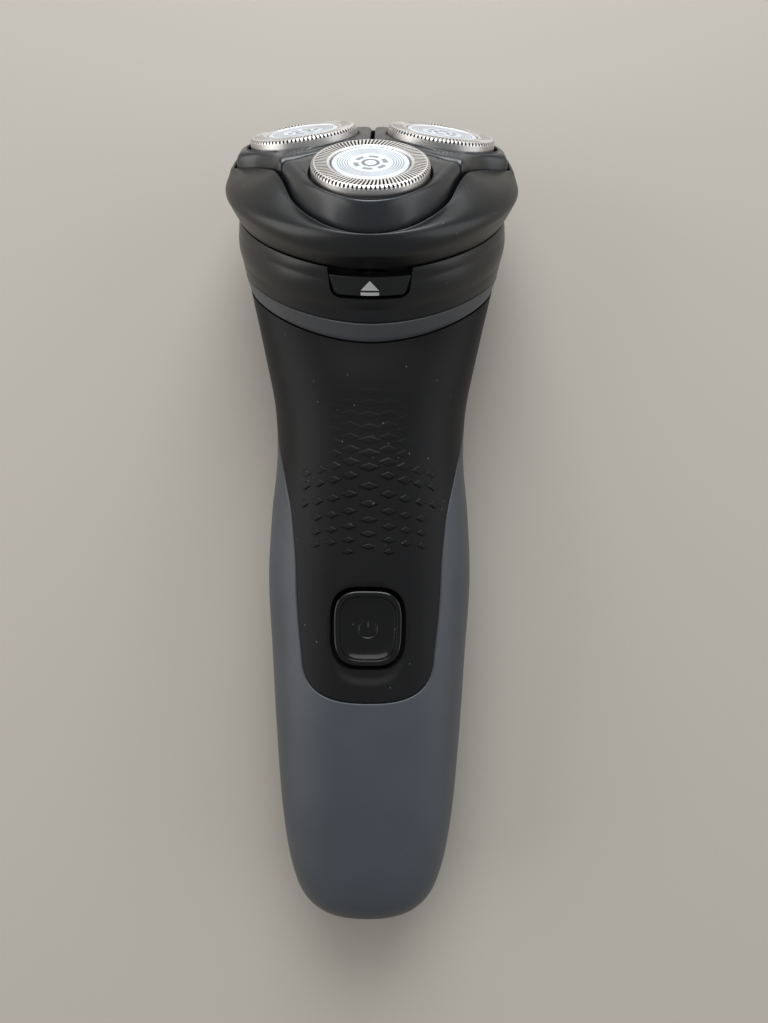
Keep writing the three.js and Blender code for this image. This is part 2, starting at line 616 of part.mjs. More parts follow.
// The [reach, height] of the petals' edge at a bearing in degrees.
function petalEdge(bearing) {
  const at = folded(bearing);
  const next = Math.max(1, PETAL_EDGE.findIndex(([listed]) => listed >= at - MERGE));
  const [low, high] = [PETAL_EDGE[next - 1], PETAL_EDGE[next]];
  const straight = (at - low[0]) / (high[0] - low[0]);
  const share = (straight + THREE.MathUtils.smootherstep(at, low[0], high[0])) / 2;
  return [low[1] + share * (high[1] - low[1]), low[2] + share * (high[2] - low[2])];
}

// How far the rim of the wings lies from the head's axis at a bearing.
function rimReach(bearing) {
  const outside = (radius) => {
    const [x, y] = bearingPoint(bearing, radius);
    const back = y > RIM.widestAt;
    const depth = back ? RIM.back - RIM.widestAt : RIM.front + RIM.widestAt;
    const fullness = back ? RIM.backFullness : RIM.frontFullness;
    return (Math.abs(x) / RIM.halfWidth) ** fullness + (Math.abs(y - RIM.widestAt) / depth) ** fullness > 1;
  };
  let [near, far] = [0, 60];
  for (let n = 0; n < 20; n++) {
    const middle = (near + far) / 2;
    [near, far] = outside(middle) ? [near, middle] : [middle, far];
  }
  return near;
}

// The petals' edge as built: it also stays inside the wings by their lip and the rocking gap.
const LIP = 0.9;
const edgeReach = (bearing) => Math.min(petalEdge(bearing)[0], rimReach(bearing) - LIP - PETAL.edgeGap);

// A ring just outside the petals, as the head frame's mouth.
const FRAME_DROP = 0.8;
function mouthRing(outward, down) {
  return Array.from({ length: AROUND }, (_, j) => {
    const [x, y] = ovalPoint(RIM, (2 * Math.PI * j) / AROUND);
    const bearing = THREE.MathUtils.radToDeg(Math.atan2(y, x));
    const radius = edgeReach(bearing) + PETAL.edgeGap + outward;
    return new THREE.Vector3(...bearingPoint(bearing, radius), petalEdge(bearing)[1] - FRAME_DROP - down);
  });
}

function headFrameShell() {
  const wall = bandOf(
    [
      headRing(SPLIT, ...SPLIT_LEVELS),
      headRing(WIDEST, ...WIDEST_LEVELS),
      headRing(RIM, ...RIM_LEVELS),
      mouthRing(0.4, 0),
    ],
    [
      headRing(SPLIT, ...SPLIT_LEVELS, WALL),
      headRing(WIDEST, ...lowered(WIDEST_LEVELS, 0.3), WALL),
      mouthRing(0.3, 1.8),
      mouthRing(0, 0.8),
    ],
  );
  const barrel = acrossX(rod(HINGE.barrel, -HINGE.knuckle / 2, HINGE.knuckle / 2, 16));
  const web = box(HINGE.knuckle, 2.4, 4, 0, -0.2, 2.4);
  const room = 2 * (HINGE.barrel + GAP);
  const notch = box(2 * (hingeReach + GAP), room + 4, room, 0, 1.8, 0);
  return cut(join(cut(wall, atHinge(notch)), atHinge(join(barrel, web))), hingeBore());
}

const headUnit = new THREE.Group();
head.add(headUnit);
piece("head_frame", headFrameShell(), "black", headUnit);

const RETAINER = { top: -11.2, thickness: 1.4, lobe: 8.4, hub: 9, window: 6, lockBore: 3 };

function retainingFrame() {
  const bottom = RETAINER.top - RETAINER.thickness;
  const lobes = CAPS.map(([, bearing]) => overSpindle(rod(RETAINER.lobe, bottom, RETAINER.top, 26), bearing));
  const windows = CAPS.map(([, bearing]) => overSpindle(rod(RETAINER.window, -30, 0, 22), bearing));
  const hub = rod(RETAINER.hub, bottom, RETAINER.top, 26);
  return cut(join(hub, ...lobes), ...windows, rod(RETAINER.lockBore, -30, 0, 20));
}
piece("retaining_frame", retainingFrame(), "nylon", headUnit);

const LOCK = { length: 13, width: 4, corner: 1.6, thickness: 1.6 };

function retainingLock() {
  const under = RETAINER.top - RETAINER.thickness - GAP;
  const stem = rod(RETAINER.lockBore - GAP, under - 3, RETAINER.top + 1, 18);
  const grip = roundedBlock(LOCK.length, LOCK.width, LOCK.corner, under - LOCK.thickness, under);
  return join(stem, grip);
}
piece("retaining_lock", retainingLock(), "slate", headUnit);

// ---- petals, caps, discs and cutters ----
const CAP_RADIUS = CAP.diameter / 2;
const PETAL_BORE = CAP_RADIUS + PETAL.boreGap;
const DISC_RADIUS = CAP_RADIUS - CAP.track;
const PETAL_STEPS = 36;

// How far a petal reaches from its cap's centre in one direction: to the outer edge or to its neighbour's gap.
function petalReach(bearing, direction) {
  const [cx, cy] = bearingPoint(bearing, CAP.circle);
  const inside = (distance) => {
    const x = cx + distance * Math.cos(direction);
    const y = cy + distance * Math.sin(direction);
    const own = THREE.MathUtils.radToDeg(Math.atan2(y, x));
    const off = ((own - bearing + 540) % 360) - 180;
    const toNeighbour = Math.hypot(x, y) * Math.sin(radians(60 - Math.abs(off)));
    return Math.hypot(x, y) < edgeReach(own) && toNeighbour > PETAL.gap;
  };
  let [near, far] = [PETAL_BORE + 0.6, 40];
  if (!inside(near)) return near;
  for (let n = 0; n < 24; n++) {
    const middle = (near + far) / 2;
    [near, far] = inside(middle) ? [middle, far] : [near, middle];
  }
  return near;
}

// A ring of a petal, from its bore at share 0 to its outer edge at 1, and so far down. The bore lies in the
// cap's tilted plane, and the top falls away to the edge's own height where the petal meets the wings.
function petalRing(bearing, share, drop) {
  const [cx, cy] = bearingPoint(bearing, CAP.circle);
  const slope = Math.tan(radians(CAP.tilt));
  const [backX, backY] = bearingPoint(bearing, drop * slope * (1 - share));
  return Array.from({ length: PETAL_STEPS }, (_, j) => {
    const direction = (2 * Math.PI * j) / PETAL_STEPS;
    const reach = THREE.MathUtils.lerp(PETAL_BORE, petalReach(bearing, direction), share);
    const outward = Math.cos(direction - radians(bearing));
    const [x, y] = [cx + reach * Math.cos(direction), cy + reach * Math.sin(direction)];
    const own = THREE.MathUtils.radToDeg(Math.atan2(y, x));
    const atBore = -PETAL.sunk - PETAL_BORE * outward * slope;
    const nearEdge = THREE.MathUtils.smoothstep(Math.hypot(x, y) / edgeReach(own), 0.75, 1);
    const fallen = THREE.MathUtils.lerp(atBore - GAP, Math.min(atBore, petalEdge(own)[1]), nearEdge);
    const height = THREE.MathUtils.lerp(atBore, fallen, share * share);
    return new THREE.Vector3(x - backX, y - backY, height - drop);
  });
}

// [share, drop] over the top from the bore, down the skirt and back underneath.
const PETAL_PROFILE = [
  [0, 0], [0.5, 0.05], [0.9, 0], [1, 0.5], [1, PETAL.skirt], [0.85, PETAL.skirt],
  [0.5, PETAL.thickness], [0, PETAL.thickness + 1],
];
const petal = (bearing) => through(PETAL_PROFILE.map(([share, drop]) => petalRing(bearing, share, drop)), true);

CAPS.forEach(([side, bearing]) => {
  piece(`petal_${side}`, petal(bearing), "petal", headUnit);
  const cap = new THREE.Group();
  cap.position.set(...bearingPoint(bearing, CAP.circle), 0);
  const tiltAxis = new THREE.Vector3(...bearingPoint(bearing + 90, 1), 0);
  cap.quaternion.setFromAxisAngle(tiltAxis, radians(CAP.tilt));
  headUnit.add(cap);
  piece(`shaving_cap_${side}`, shavingCap(), "steel", cap);
  piece(`cap_disc_${side}`, capDisc(), "steel", cap);
  piece(`cutter_${side}`, cutter(), "steel", cap);
});

// Cap: side wall, rounded shoulder, flat track, and the seat that carries the disc.
function shavingCap() {
  const seat = DISC_RADIUS - 0.8;
  const inner = DISC_RADIUS + GAP;
  return turned([
    [CAP_RADIUS + 0.15, -CAP.height], [CAP_RADIUS, -0.7], [CAP_RADIUS - 0.2, -0.2], [CAP_RADIUS - 0.6, 0],
    [inner + 0.3, 0], [inner, -0.3], [inner, -1.6], [seat, -1.6], [seat, -2.2], [inner + 0.9, -2.2],
    [inner + 0.9, -0.6], [CAP_RADIUS - 0.9, -0.6], [CAP_RADIUS - 0.6, -1], [CAP_RADIUS - 0.45, -CAP.height],
    [CAP_RADIUS + 0.15, -CAP.height],
  ], 32);
}

function capDisc() {
  const rim = DISC_RADIUS;
  return turned([
    [0, -1.3], [rim - 0.4, -1.3], [rim, -0.9], [rim, -0.35], [rim - 0.3, -0.05], [rim - 2, -0.3], [0, -0.2],
  ], 28);
}

// Cutter: nine blades on a ring, over a hub whose bell mouth takes the spindle's tip.
function cutter() {
  const track = (DISC_RADIUS + GAP + CAP_RADIUS) / 2;
  const rim = track + 0.35;
  const hub = tube(3, 4.2, -8.2, -3.4, 20);
  const web = turned([[0, -4.4], [rim, -4.4], [rim, -3.4], [0, -3.4]], 27);
  const blades = Array.from({ length: 9 }, (_, n) =>
    box(0.8, 0.5, 3, track, 0, -2.5).rotateZ((2 * Math.PI * n) / 9));
  return join(hub, web, ...blades);
}

// ---- stand the shaver on the middle of its box, resting on the table ----
shaver.updateMatrixWorld(true);
const bounds = new THREE.Box3().setFromObject(shaver, true);
handle.position.set(0, -(bounds.min.y + bounds.max.y) / 2, -bounds.min.z);
shaver.updateMatrixWorld(true);

export default shaver;
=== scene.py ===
import json
import math

import bmesh
import bpy
import numpy as np
from mathutils import Matrix, Vector


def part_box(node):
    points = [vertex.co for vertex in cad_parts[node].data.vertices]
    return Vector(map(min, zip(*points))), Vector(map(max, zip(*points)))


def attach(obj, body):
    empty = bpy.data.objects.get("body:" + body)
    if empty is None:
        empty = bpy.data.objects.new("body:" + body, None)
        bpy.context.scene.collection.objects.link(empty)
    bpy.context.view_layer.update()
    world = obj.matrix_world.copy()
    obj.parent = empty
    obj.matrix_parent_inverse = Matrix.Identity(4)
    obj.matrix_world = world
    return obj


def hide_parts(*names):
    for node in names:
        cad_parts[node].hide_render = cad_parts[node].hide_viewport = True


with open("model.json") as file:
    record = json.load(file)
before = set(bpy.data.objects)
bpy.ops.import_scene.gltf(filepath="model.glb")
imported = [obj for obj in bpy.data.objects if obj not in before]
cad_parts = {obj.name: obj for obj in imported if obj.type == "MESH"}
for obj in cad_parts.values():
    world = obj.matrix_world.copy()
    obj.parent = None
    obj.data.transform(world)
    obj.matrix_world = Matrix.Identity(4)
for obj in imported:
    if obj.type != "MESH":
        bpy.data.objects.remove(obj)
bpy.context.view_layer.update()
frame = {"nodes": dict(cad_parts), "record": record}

# ---- where things stand --------------------------------------------------------------------------------------
# The shaver lies on its back, head towards +Y. The head leans forward of the handle, and its own frame has +Z in the
# shaving direction. The flip hinge's place in that frame is known, so the hinge gives both frames' origins.
MM = 0.001
joints = {joint["name"]: joint for joint in frame["record"]["behaviour"]["joints"]}
head_z = np.array(joints["motor_spin"]["axis"], float)
head_x = np.array([1.0, 0.0, 0.0])
head_y = np.cross(head_z, head_x)
HEAD_TURN = np.stack([head_x, head_y, head_z], axis=1)
HINGE_IN_HEAD = np.array([0.0, 22.4, -15.2])
head_origin = np.array(joints["head_flip"]["pos_m"], float) / MM - HEAD_TURN @ HINGE_IN_HEAD
handle_origin = head_origin - np.array([0.0, 73.3, 33.3])


def from_head(points):
    """Points of the head's own frame, in mm, as points of the shaver's frame: turned by the lean, then moved."""
    return points @ HEAD_TURN.T + head_origin


# ---- camera --------------------------------------------------------------------------------------------------
# Straight above the shaver, close, with the head's end up and a touch of turn.
CAMERA_HEIGHT = 218.0
camera_data = bpy.data.cameras.new("camera")
camera_data.sensor_width = 36.0
camera_data.lens = 32.9
camera_data.clip_start = 0.01
camera = bpy.data.objects.new("camera", camera_data)
bpy.context.collection.objects.link(camera)
camera.location = (handle_origin + np.array([3.0, 0.0, CAMERA_HEIGHT])) * MM
camera.rotation_euler = (0.0, 0.0, 0.0085)
bpy.context.scene.camera = camera


# ---- floor and light -----------------------------------------------------------------------------------------
# A plain warm pale table top, one broad soft window light past the head, and a dim room all round.
def new_material(name):
    """An empty node material: (material, nodes, links, principled shader)."""
    material = bpy.data.materials.new(name)
    material.use_nodes = True
    nodes, links = material.node_tree.nodes, material.node_tree.links
    return material, nodes, links, nodes["Principled BSDF"]


floor_mesh = bpy.data.meshes.new("floor")
floor_mesh.from_pydata([(-2, -2, 0), (2, -2, 0), (2, 2, 0), (-2, 2, 0)], [], [(0, 1, 2, 3)])
floor = bpy.data.objects.new("floor", floor_mesh)
bpy.context.collection.objects.link(floor)
floor_material, nodes, links, shader = new_material("table_top")
shader.inputs["Base Color"].default_value = (0.325, 0.298, 0.260, 1)
shader.inputs["Roughness"].default_value = 0.6
floor_mesh.materials.append(floor_material)

world = bpy.data.worlds.new("room")
bpy.context.scene.world = world
world.use_nodes = True
world.node_tree.nodes["Background"].inputs["Color"].default_value = (0.94, 0.97, 1.0, 1)
world.node_tree.nodes["Background"].inputs["Strength"].default_value = 0.34
bpy.context.scene.view_settings.view_transform = "Standard"


def area_light(name, place, towards, size, power, colour):
    """A square soft light at place, in metres, facing towards."""
    data = bpy.data.lights.new(name, "AREA")
    data.shape = "SQUARE"
    data.size = size
    data.energy = power
    data.color = colour
    lamp = bpy.data.objects.new(name, data)
    bpy.context.collection.objects.link(lamp)
    lamp.location = place
    lamp.rotation_euler = (Vector(towards) - Vector(place)).to_track_quat("-Z", "Y").to_euler()


area_light("window", (0.06, 0.95, 0.62), (0, 0.02, 0), 0.8, 15.0, (0.93, 0.97, 1.0))
area_light("ceiling", (-0.1, 0.75, 1.0), (0, 0.05, 0), 0.9, 7.0, (1.0, 0.975, 0.95))
area_light("left_wall", (-0.95, 0.0, 0.35), (0, 0, 0), 0.9, 6.5, (1.0, 0.98, 0.95))
area_light("right_wall", (0.95, 0.0, 0.35), (0, 0, 0), 0.9, 4.0, (0.97, 0.98, 1.0))


# ---- front shell ---------------------------------------------------------------------------------------------
# Slate grey ABS half shell with the rounded tail, moulded with a bed that takes the grip panel, a well for the power
# button and the charging socket's mouth. Like all the mouldings it has a spark-eroded skin.
def moulding(name, colour, roughness, grain=0.25, grain_size=0.25, speckle=0.0, specular=0.12):
    """Plastic, in the object's own coordinates: noise of the given grain size, in mm, drives the bump, slow noise
    drifts the gloss and the tone, and speckle is the strength of the dust."""
    material, nodes, links, shader = new_material(name)
    place = nodes.new("ShaderNodeTexCoord").outputs["Object"]
    fine = nodes.new("ShaderNodeTexNoise")
    fine.inputs["Scale"].default_value = 1.0 / (grain_size * MM)
    fine.inputs["Detail"].default_value = 3.0
    slow = nodes.new("ShaderNodeTexNoise")
    slow.inputs["Scale"].default_value = 45.0
    slow.inputs["Detail"].default_value = 4.0
    for noise in (fine, slow):
        links.new(place, noise.inputs["Vector"])
    rough = nodes.new("ShaderNodeMapRange")
    rough.inputs["To Min"].default_value = roughness - 0.06
    rough.inputs["To Max"].default_value = roughness + 0.06
    links.new(slow.outputs["Fac"], rough.inputs["Value"])
    links.new(rough.outputs["Result"], shader.inputs["Roughness"])
    tone = nodes.new("ShaderNodeValToRGB")
    low = [c * 0.90 for c in colour]
    high = [c * 1.10 for c in colour]
    tone.color_ramp.elements[0].position = 0.35
    tone.color_ramp.elements[0].color = (*low, 1)
    tone.color_ramp.elements[1].position = 0.65
    tone.color_ramp.elements[1].color = (*high, 1)
    links.new(slow.outputs["Fac"], tone.inputs["Fac"])
    colour_out = tone.outputs["Color"]
    if speckle:
        dust = nodes.new("ShaderNodeTexVoronoi")
        dust.inputs["Scale"].default_value = 330.0
        links.new(place, dust.inputs["Vector"])
        near = nodes.new("ShaderNodeMapRange")
        near.inputs["From Min"].default_value = 0.055
        near.inputs["From Max"].default_value = 0.02
        near.inputs["To Max"].default_value = speckle
        links.new(dust.outputs["Distance"], near.inputs["Value"])
        mix = nodes.new("ShaderNodeMix")
        mix.data_type = "RGBA"
        mix.inputs["B"].default_value = (0.32, 0.31, 0.30, 1)
        links.new(near.outputs["Result"], mix.inputs["Factor"])
        links.new(colour_out, mix.inputs["A"])
        colour_out = mix.outputs["Result"]
    links.new(colour_out, shader.inputs["Base Color"])
    bump = nodes.new("ShaderNodeBump")
    bump.inputs["Strength"].default_value = grain
    bump.inputs["Distance"].default_value = 0.02 * MM
    links.new(fine.outputs["Fac"], bump.inputs["Height"])
    links.new(bump.outputs["Normal"], shader.inputs["Normal"])
    shader.inputs["Specular IOR Level"].default_value = specular
    return material


SLATE = moulding("slate_moulding", (0.040, 0.0445, 0.0525), 0.42, speckle=0.15, specular=0.3)


def grid_quads(rows, columns, along=False, start=0):
    """Quads between the points of a grid whose last column joins the first, and with along its last row the first.
    start is the number of its first point."""
    index = start + np.arange(rows * columns).reshape(rows, columns)
    index = np.concatenate([index, index[:, :1]], axis=1)
    if along:
        index = np.concatenate([index, index[:1]], axis=0)
    return np.stack([index[:-1, :-1], index[:-1, 1:], index[1:, 1:], index[1:, :-1]], axis=-1).reshape(-1, 4)


def surface(name, points, material, body, slot, along=False, **kept):
    """A grid of points (rows, columns, 3), in mm of the shaver's frame, as a closed surface that goes round."""
    quads = grid_quads(*points.shape[:2], along)
    return mesh_piece(name, points.reshape(-1, 3), quads, material, body, slot, **kept)


# Edges that turn by more than this stay sharp.
SHARP = math.radians(38)


def mesh_piece(name, points, quads, material, body, slot, attributes=None, merge=0.0005, holes=()):
    """Points in mm and quads as a finished object: doubles merged, faces turned outwards, holes cut, then it rides
    on body. attributes are values kept on the points."""
    mesh = bpy.data.meshes.new(name)
    mesh.vertices.add(len(points))
    mesh.vertices.foreach_set("co", (points * MM).astype(np.float32).ravel())
    mesh.loops.add(quads.size)
    mesh.loops.foreach_set("vertex_index", quads.astype(np.int32).ravel())
    mesh.polygons.add(len(quads))
    mesh.polygons.foreach_set("loop_start", np.arange(0, quads.size, 4, dtype=np.int32))
    for key, values in (attributes or {}).items():
        mesh.attributes.new(key, "FLOAT", "POINT").data.foreach_set("value", values.astype(np.float32).ravel())
    mesh.update(calc_edges=True)
    mesh.validate()
    tidy(mesh, merge * MM)
    mesh.materials.append(material)
    piece = bpy.data.objects.new(name, mesh)
    bpy.context.collection.objects.link(piece)
    for hole in holes:
        boolean = piece.modifiers.new("hole", "BOOLEAN")
        boolean.object = hole
        boolean.operation = "DIFFERENCE"
        boolean.solver = "EXACT"
    if holes:
        bake(piece)
        tidy(piece.data, merge * MM)
    piece.data.polygons.foreach_set("use_smooth", np.full(len(piece.data.polygons), True))
    piece.data.set_sharp_from_angle(angle=SHARP)
    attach(piece, body)
    return piece


def tidy(mesh, distance):
    """Merges doubles, drops what collapsed and turns all faces outwards."""
    work = bmesh.new()
    work.from_mesh(mesh)
    bmesh.ops.remove_doubles(work, verts=work.verts, dist=distance)
    bmesh.ops.dissolve_degenerate(work, edges=work.edges, dist=1e-8)
    bmesh.ops.recalc_face_normals(work, faces=work.faces)
    work.to_mesh(mesh)
    work.free()


def bake(piece):
    """Applies the piece's modifiers to its mesh."""
    bpy.context.view_layer.update()
    done = bpy.data.meshes.new_from_object(piece.evaluated_get(bpy.context.evaluated_depsgraph_get()))
    piece.modifiers.clear()
    piece.data = done


# Each section across the shaver is an oval of two halves. The handle's sections stand at known places along it,
# each with a height and a lean. The head's sections are rings whose level swings from side to front to back.
def oval(turn, half_width, front, back, widest, front_fullness, back_fullness):
    """(x, y) of an oval: superellipses of their own depth and fullness in front of and behind the widest line."""
    c, s = np.cos(turn), np.sin(turn)
    fullness = 2.0 / np.where(s > 0, back_fullness, front_fullness)
    depth = np.where(s > 0, back - widest, front + widest)
    return (half_width * np.sign(c) * np.abs(c) ** fullness,
            widest + depth * np.sign(s) * np.abs(s) ** fullness)


def head_ring(turn, ring, levels, inset=0.0):
    """Points of a ring of the head's frame. levels are (side, front, back)."""
    half_width, front, back, widest = ring
    x, y = oval(turn, half_width - inset, front - inset, back - inset, widest, 1.85, 3.0)
    s = np.sin(turn)
    z = levels[0] + (np.where(s > 0, levels[2], levels[1]) - levels[0]) * s * s
    return np.stack([x, y, z], axis=-1)


# half width, front, back, widest line
RIM = (29.1, 30.3, 24.5, 4.0)
WIDEST = (29.8, 30.2, 24.5, 4.0)
SPLIT = (27.3, 27.0, 22.5, 2.0)
BELLY = (27.6, 26.6, 21.5, 1.0)
CREASE = (27.0, 25.3, 19.5, -1.0)
COLLAR = (26.4, 24.8, 18.9, -2.0)
NECK = (25.3, 24.0, 17.1, -4.3)
SPLIT_LEVELS = np.array([-14.9, -16.6, -13.6])
COLLAR_LEVELS = np.array([-25.3, -27.9, -24.6])
NECK_LEVELS = np.array([-28.4, -32.3, -27.2])

NECK_Y = 33.0
NECK_TOP = 45.3
TAIL_Y = -86.2
# place along Y, height, lean in degrees, half width, half depth
SECTIONS = np.array([
    [TAIL_Y, 16.2, 0, 0.02, 0.02],
    [TAIL_Y + 0.35, 16.0, 0, 6.0, 4.4],
    [TAIL_Y + 0.8, 16.0, 0, 8.3, 6.2],
    [TAIL_Y + 2.4, 16.0, 0, 11.4, 8.6],
    [TAIL_Y + 5.2, 16.0, -1, 13.9, 10.7],
    [TAIL_Y + 10.2, 16.1, -2, 15.9, 12.3],
    [TAIL_Y + 19.2, 16.2, -2, 17.7, 13.6],
    [TAIL_Y + 36.2, 16.6, -1, 19.3, 15.3],
    [TAIL_Y + 56.2, 17.0, 0, 20.5, 16.7],
    [-12, 17.2, 1, 21.4, 17.2],
    [0, 17.2, 3, 20.8, 17.2],
    [12, 17.3, 7, 19.8, 17.3],
    [22, 17.6, 14, 20.2, 17.6],
    [NECK_Y, 18.4, 24, 22.2, 18.2],
])
# The cubic runs in the root of the distance from the tail, so that the tail closes as a round end.
STATIONS = np.sqrt(np.append(SECTIONS[:, 0], NECK_TOP) - TAIL_Y)


def handle_skin(place, turn, inset=0.0):
    """The handle's skin: at each place along it, a cubic through the sections' points at the same turn."""
    place, turn, inset = np.broadcast_arrays(*(np.asarray(v, float) for v in (place, turn, inset)))
    rings = []
    for y, z, lean, half_width, half_depth in SECTIONS:
        deep = np.maximum(half_depth - inset, 0.01)
        x, depth = oval(turn, np.maximum(half_width - inset, 0.01), deep, deep, 0.0, 2.2, 2.3)
        across = math.radians(lean)
        rings.append(np.stack([x, y + depth * math.sin(across), z - depth * math.cos(across)], axis=-1))
    rings.append(from_head(head_ring(turn, NECK, NECK_LEVELS - 0.3, inset)) - handle_origin)
    rings = np.stack(rings)
    slopes = np.gradient(rings, STATIONS, axis=0)
    root = np.sqrt(np.maximum(place - TAIL_Y, 0))
    low = np.clip(np.searchsorted(STATIONS, root, side="right") - 1, 0, len(STATIONS) - 2)

    def pick(stack, n):
        return np.take_along_axis(stack, np.broadcast_to(n[None, ..., None], (1, *n.shape, 3)), 0)[0]

    step = (STATIONS[low + 1] - STATIONS[low])[..., None]
    t = (root - STATIONS[low])[..., None] / step
    points = (pick(rings, low) * (2 * t**3 - 3 * t**2 + 1) + pick(rings, low + 1) * (3 * t**2 - 2 * t**3)
              + (pick(slopes, low) * (t**3 - 2 * t**2 + t) + pick(slopes, low + 1) * (t**3 - t**2)) * step)
    points[..., 1] = np.maximum(points[..., 1], TAIL_Y)
    return points + handle_origin


FRONT = -math.pi / 2
ROUND = 17.0


def parting_height(y):
    """Height of the parting line over the table along the handle: level, then rising up the neck."""
    return np.interp(y, [-200, 10, 30, 200], [12.5, 12.5, 14.0, 52.5])


def parting_turn(place):
    """Turn away from the front at which the skin comes down to the parting line, by halving."""
    near, far = np.full(place.shape, 0.3), np.full(place.shape, 3.1)
    for _ in range(30):
        middle = (near + far) / 2
        point = handle_skin(place, FRONT + middle) - handle_origin
        above = point[..., 2] > parting_height(point[..., 1])
        near, far = np.where(above, middle, near), np.where(above, far, middle)
    return near


def walled(outer, inner):
    """One closed wall as a grid that goes round: the outer skin, then the inner skin back, with both end rows drawn
    together at the middle of the wall."""
    middle = (outer + inner) / 2
    both = np.concatenate([outer, inner[:, ::-1]], axis=1)
    lid = np.concatenate([middle, middle[:, ::-1]], axis=1)
    return np.concatenate([lid[:1], both, lid[-1:]])


# The panel wraps the whole neck and narrows to a round-cornered tongue round the power button.
TONGUE_BOTTOM, TONGUE_CORNER = -38.1, -29.5
PANEL_TURNS = np.array([
    [TONGUE_CORNER, 38.0], [-26, 38.9], [-17.9, 40.2], [-9.8, 41.4], [-5.8, 43.4], [2.3, 50.0], [6.4, 56.9],
    [14.0, 71.8], [19.2, 82.0], [22.6, 91.0], [27.0, 106.0], [40.0, 160.0],
])


def panel_outline(out=0.0, count=48):
    """(places, half turns) up one side of the panel, from the middle of the tongue's end: a superellipse round the
    end, then a cubic through the panel's places. out widens it by so many mm."""
    x, y = PANEL_TURNS[:, 0], np.radians(PANEL_TURNS[:, 1]) + out / ROUND
    sweep = np.linspace(0, math.pi / 2, count)
    depth = TONGUE_CORNER - TONGUE_BOTTOM + out
    places = TONGUE_CORNER - depth * np.cos(sweep) ** (2 / 2.4)
    turns = y[0] * np.sin(sweep) ** (2 / 2.4)
    slopes = np.gradient(y, x)
    rest = np.linspace(TONGUE_CORNER, NECK_TOP, 160)[1:]
    low = np.clip(np.searchsorted(x, rest, side="right") - 1, 0, len(x) - 2)
    step = x[low + 1] - x[low]
    t = np.clip((rest - x[low]) / step, 0, 1)
    wide = (y[low] * (2 * t**3 - 3 * t**2 + 1) + slopes[low] * step * (t**3 - 2 * t**2 + t)
            + y[low + 1] * (3 * t**2 - 2 * t**3) + slopes[low + 1] * step * (t**3 - t**2))
    return np.concatenate([places, rest]), np.concatenate([turns, wide])


def outline_distance(place, turn, out=0.0):
    """Distance in mm, in the unrolled skin, from each point to the panel's outline widened by out."""
    line = np.stack(panel_outline(out, 80), -1) * [1, ROUND]
    point = np.stack([place, np.abs(turn) * ROUND], -1)
    nearest = np.full(place.shape, 1e9)
    for start, end in zip(line[:-1], line[1:]):
        along = end - start
        share = np.clip(((point - start) @ along) / (along @ along), 0, 1)
        nearest = np.minimum(nearest, np.linalg.norm(point - start - share[..., None] * along, axis=-1))
    return nearest


def rolled(distance, radius):
    """How far a moulded edge falls away at a distance from it: a quarter round of that radius."""
    u = np.clip(1 - distance / radius, 0, 1)
    return radius * (1 - np.sqrt(1 - u * u))


SEAM = 0.14
EDGE_ROLL = 0.3
BED = 1.25
WALL = 1.2
PART_GAP = 0.004


def front_shell():
    """Rows along the handle, columns from one parting line across the bed to the other. Two columns share each edge
    of the bed: one on the skin, with a rolled edge, and one down on the bed."""
    edge_places, edge_turns = panel_outline(SEAM)
    tail = TAIL_Y + (edge_places[0] - TAIL_Y - 1.2) * np.linspace(0, 1, 110) ** 1.6
    near_edge = edge_places[0] - 1.2 * np.linspace(1, 0, 26)[1:-1] ** 1.7
    places = np.concatenate([tail, near_edge, edge_places])
    edge = np.concatenate([np.zeros(len(tail) + len(near_edge)), edge_turns])
    limit = parting_turn(places) - PART_GAP
    edge = np.minimum(edge, limit - 0.002)
    out = np.linspace(0, 1, 44) ** 2
    skin_turn = edge[:, None] + (limit - edge)[:, None] * out
    skin_place = np.broadcast_to(places[:, None], skin_turn.shape)
    skin_drop = rolled(outline_distance(skin_place, skin_turn, SEAM), EDGE_ROLL)
    bed_turn = edge[:, None] * np.linspace(0, 1, 12)
    bed_drop = np.full(bed_turn.shape, BED)
    below = len(tail) + len(near_edge)
    bed_drop[:below] = rolled(edge_places[0] - places[:below], EDGE_ROLL)[:, None]
    turn = np.concatenate([-skin_turn[:, ::-1], -bed_turn[:, ::-1], bed_turn[:, 1:], skin_turn], axis=1)
    drop = np.concatenate([skin_drop[:, ::-1], bed_drop[:, ::-1], bed_drop[:, 1:], skin_drop], axis=1)
    place = np.broadcast_to(places[:, None], turn.shape)
    outer = handle_skin(place, FRONT + turn, drop)
    inner = handle_skin(np.maximum(place, TAIL_Y + WALL), FRONT + turn, drop + WALL)
    return walled(outer, inner)


def block(name, low, high, fullness, along=2):
    """A closed rounded block between two corners, kept only as a cutting tool. Across the axis it runs along, its
    outline is a superellipse."""
    half, middle = (high - low) / 2, (high + low) / 2
    across = [axis for axis in range(3) if axis != along]
    turn = np.linspace(0, 2 * math.pi, 160, endpoint=False)
    ends = np.zeros((2, len(turn), 3))
    for axis, run in zip(across, (np.cos(turn), np.sin(turn))):
        ends[..., axis] = half[axis] * np.sign(run) * np.abs(run) ** (2 / fullness)
    ends[..., along] = np.array([-1, 1])[:, None] * half[along]
    return cutter(name, (ends + middle).reshape(-1, 3))


def cutter(name, points):
    """A cutting tool from the points of two like outlines, one after the other, in mm."""
    n = len(points) // 2
    sides = [(i, (i + 1) % n, n + (i + 1) % n, n + i) for i in range(n)]
    mesh = bpy.data.meshes.new(name)
    mesh.from_pydata((points * MM).tolist(), [], [*sides, tuple(range(n))[::-1], tuple(range(n, 2 * n))])
    tidy(mesh, 1e-6)
    tool = bpy.data.objects.new(name, mesh)
    bpy.context.collection.objects.link(tool)
    return tool


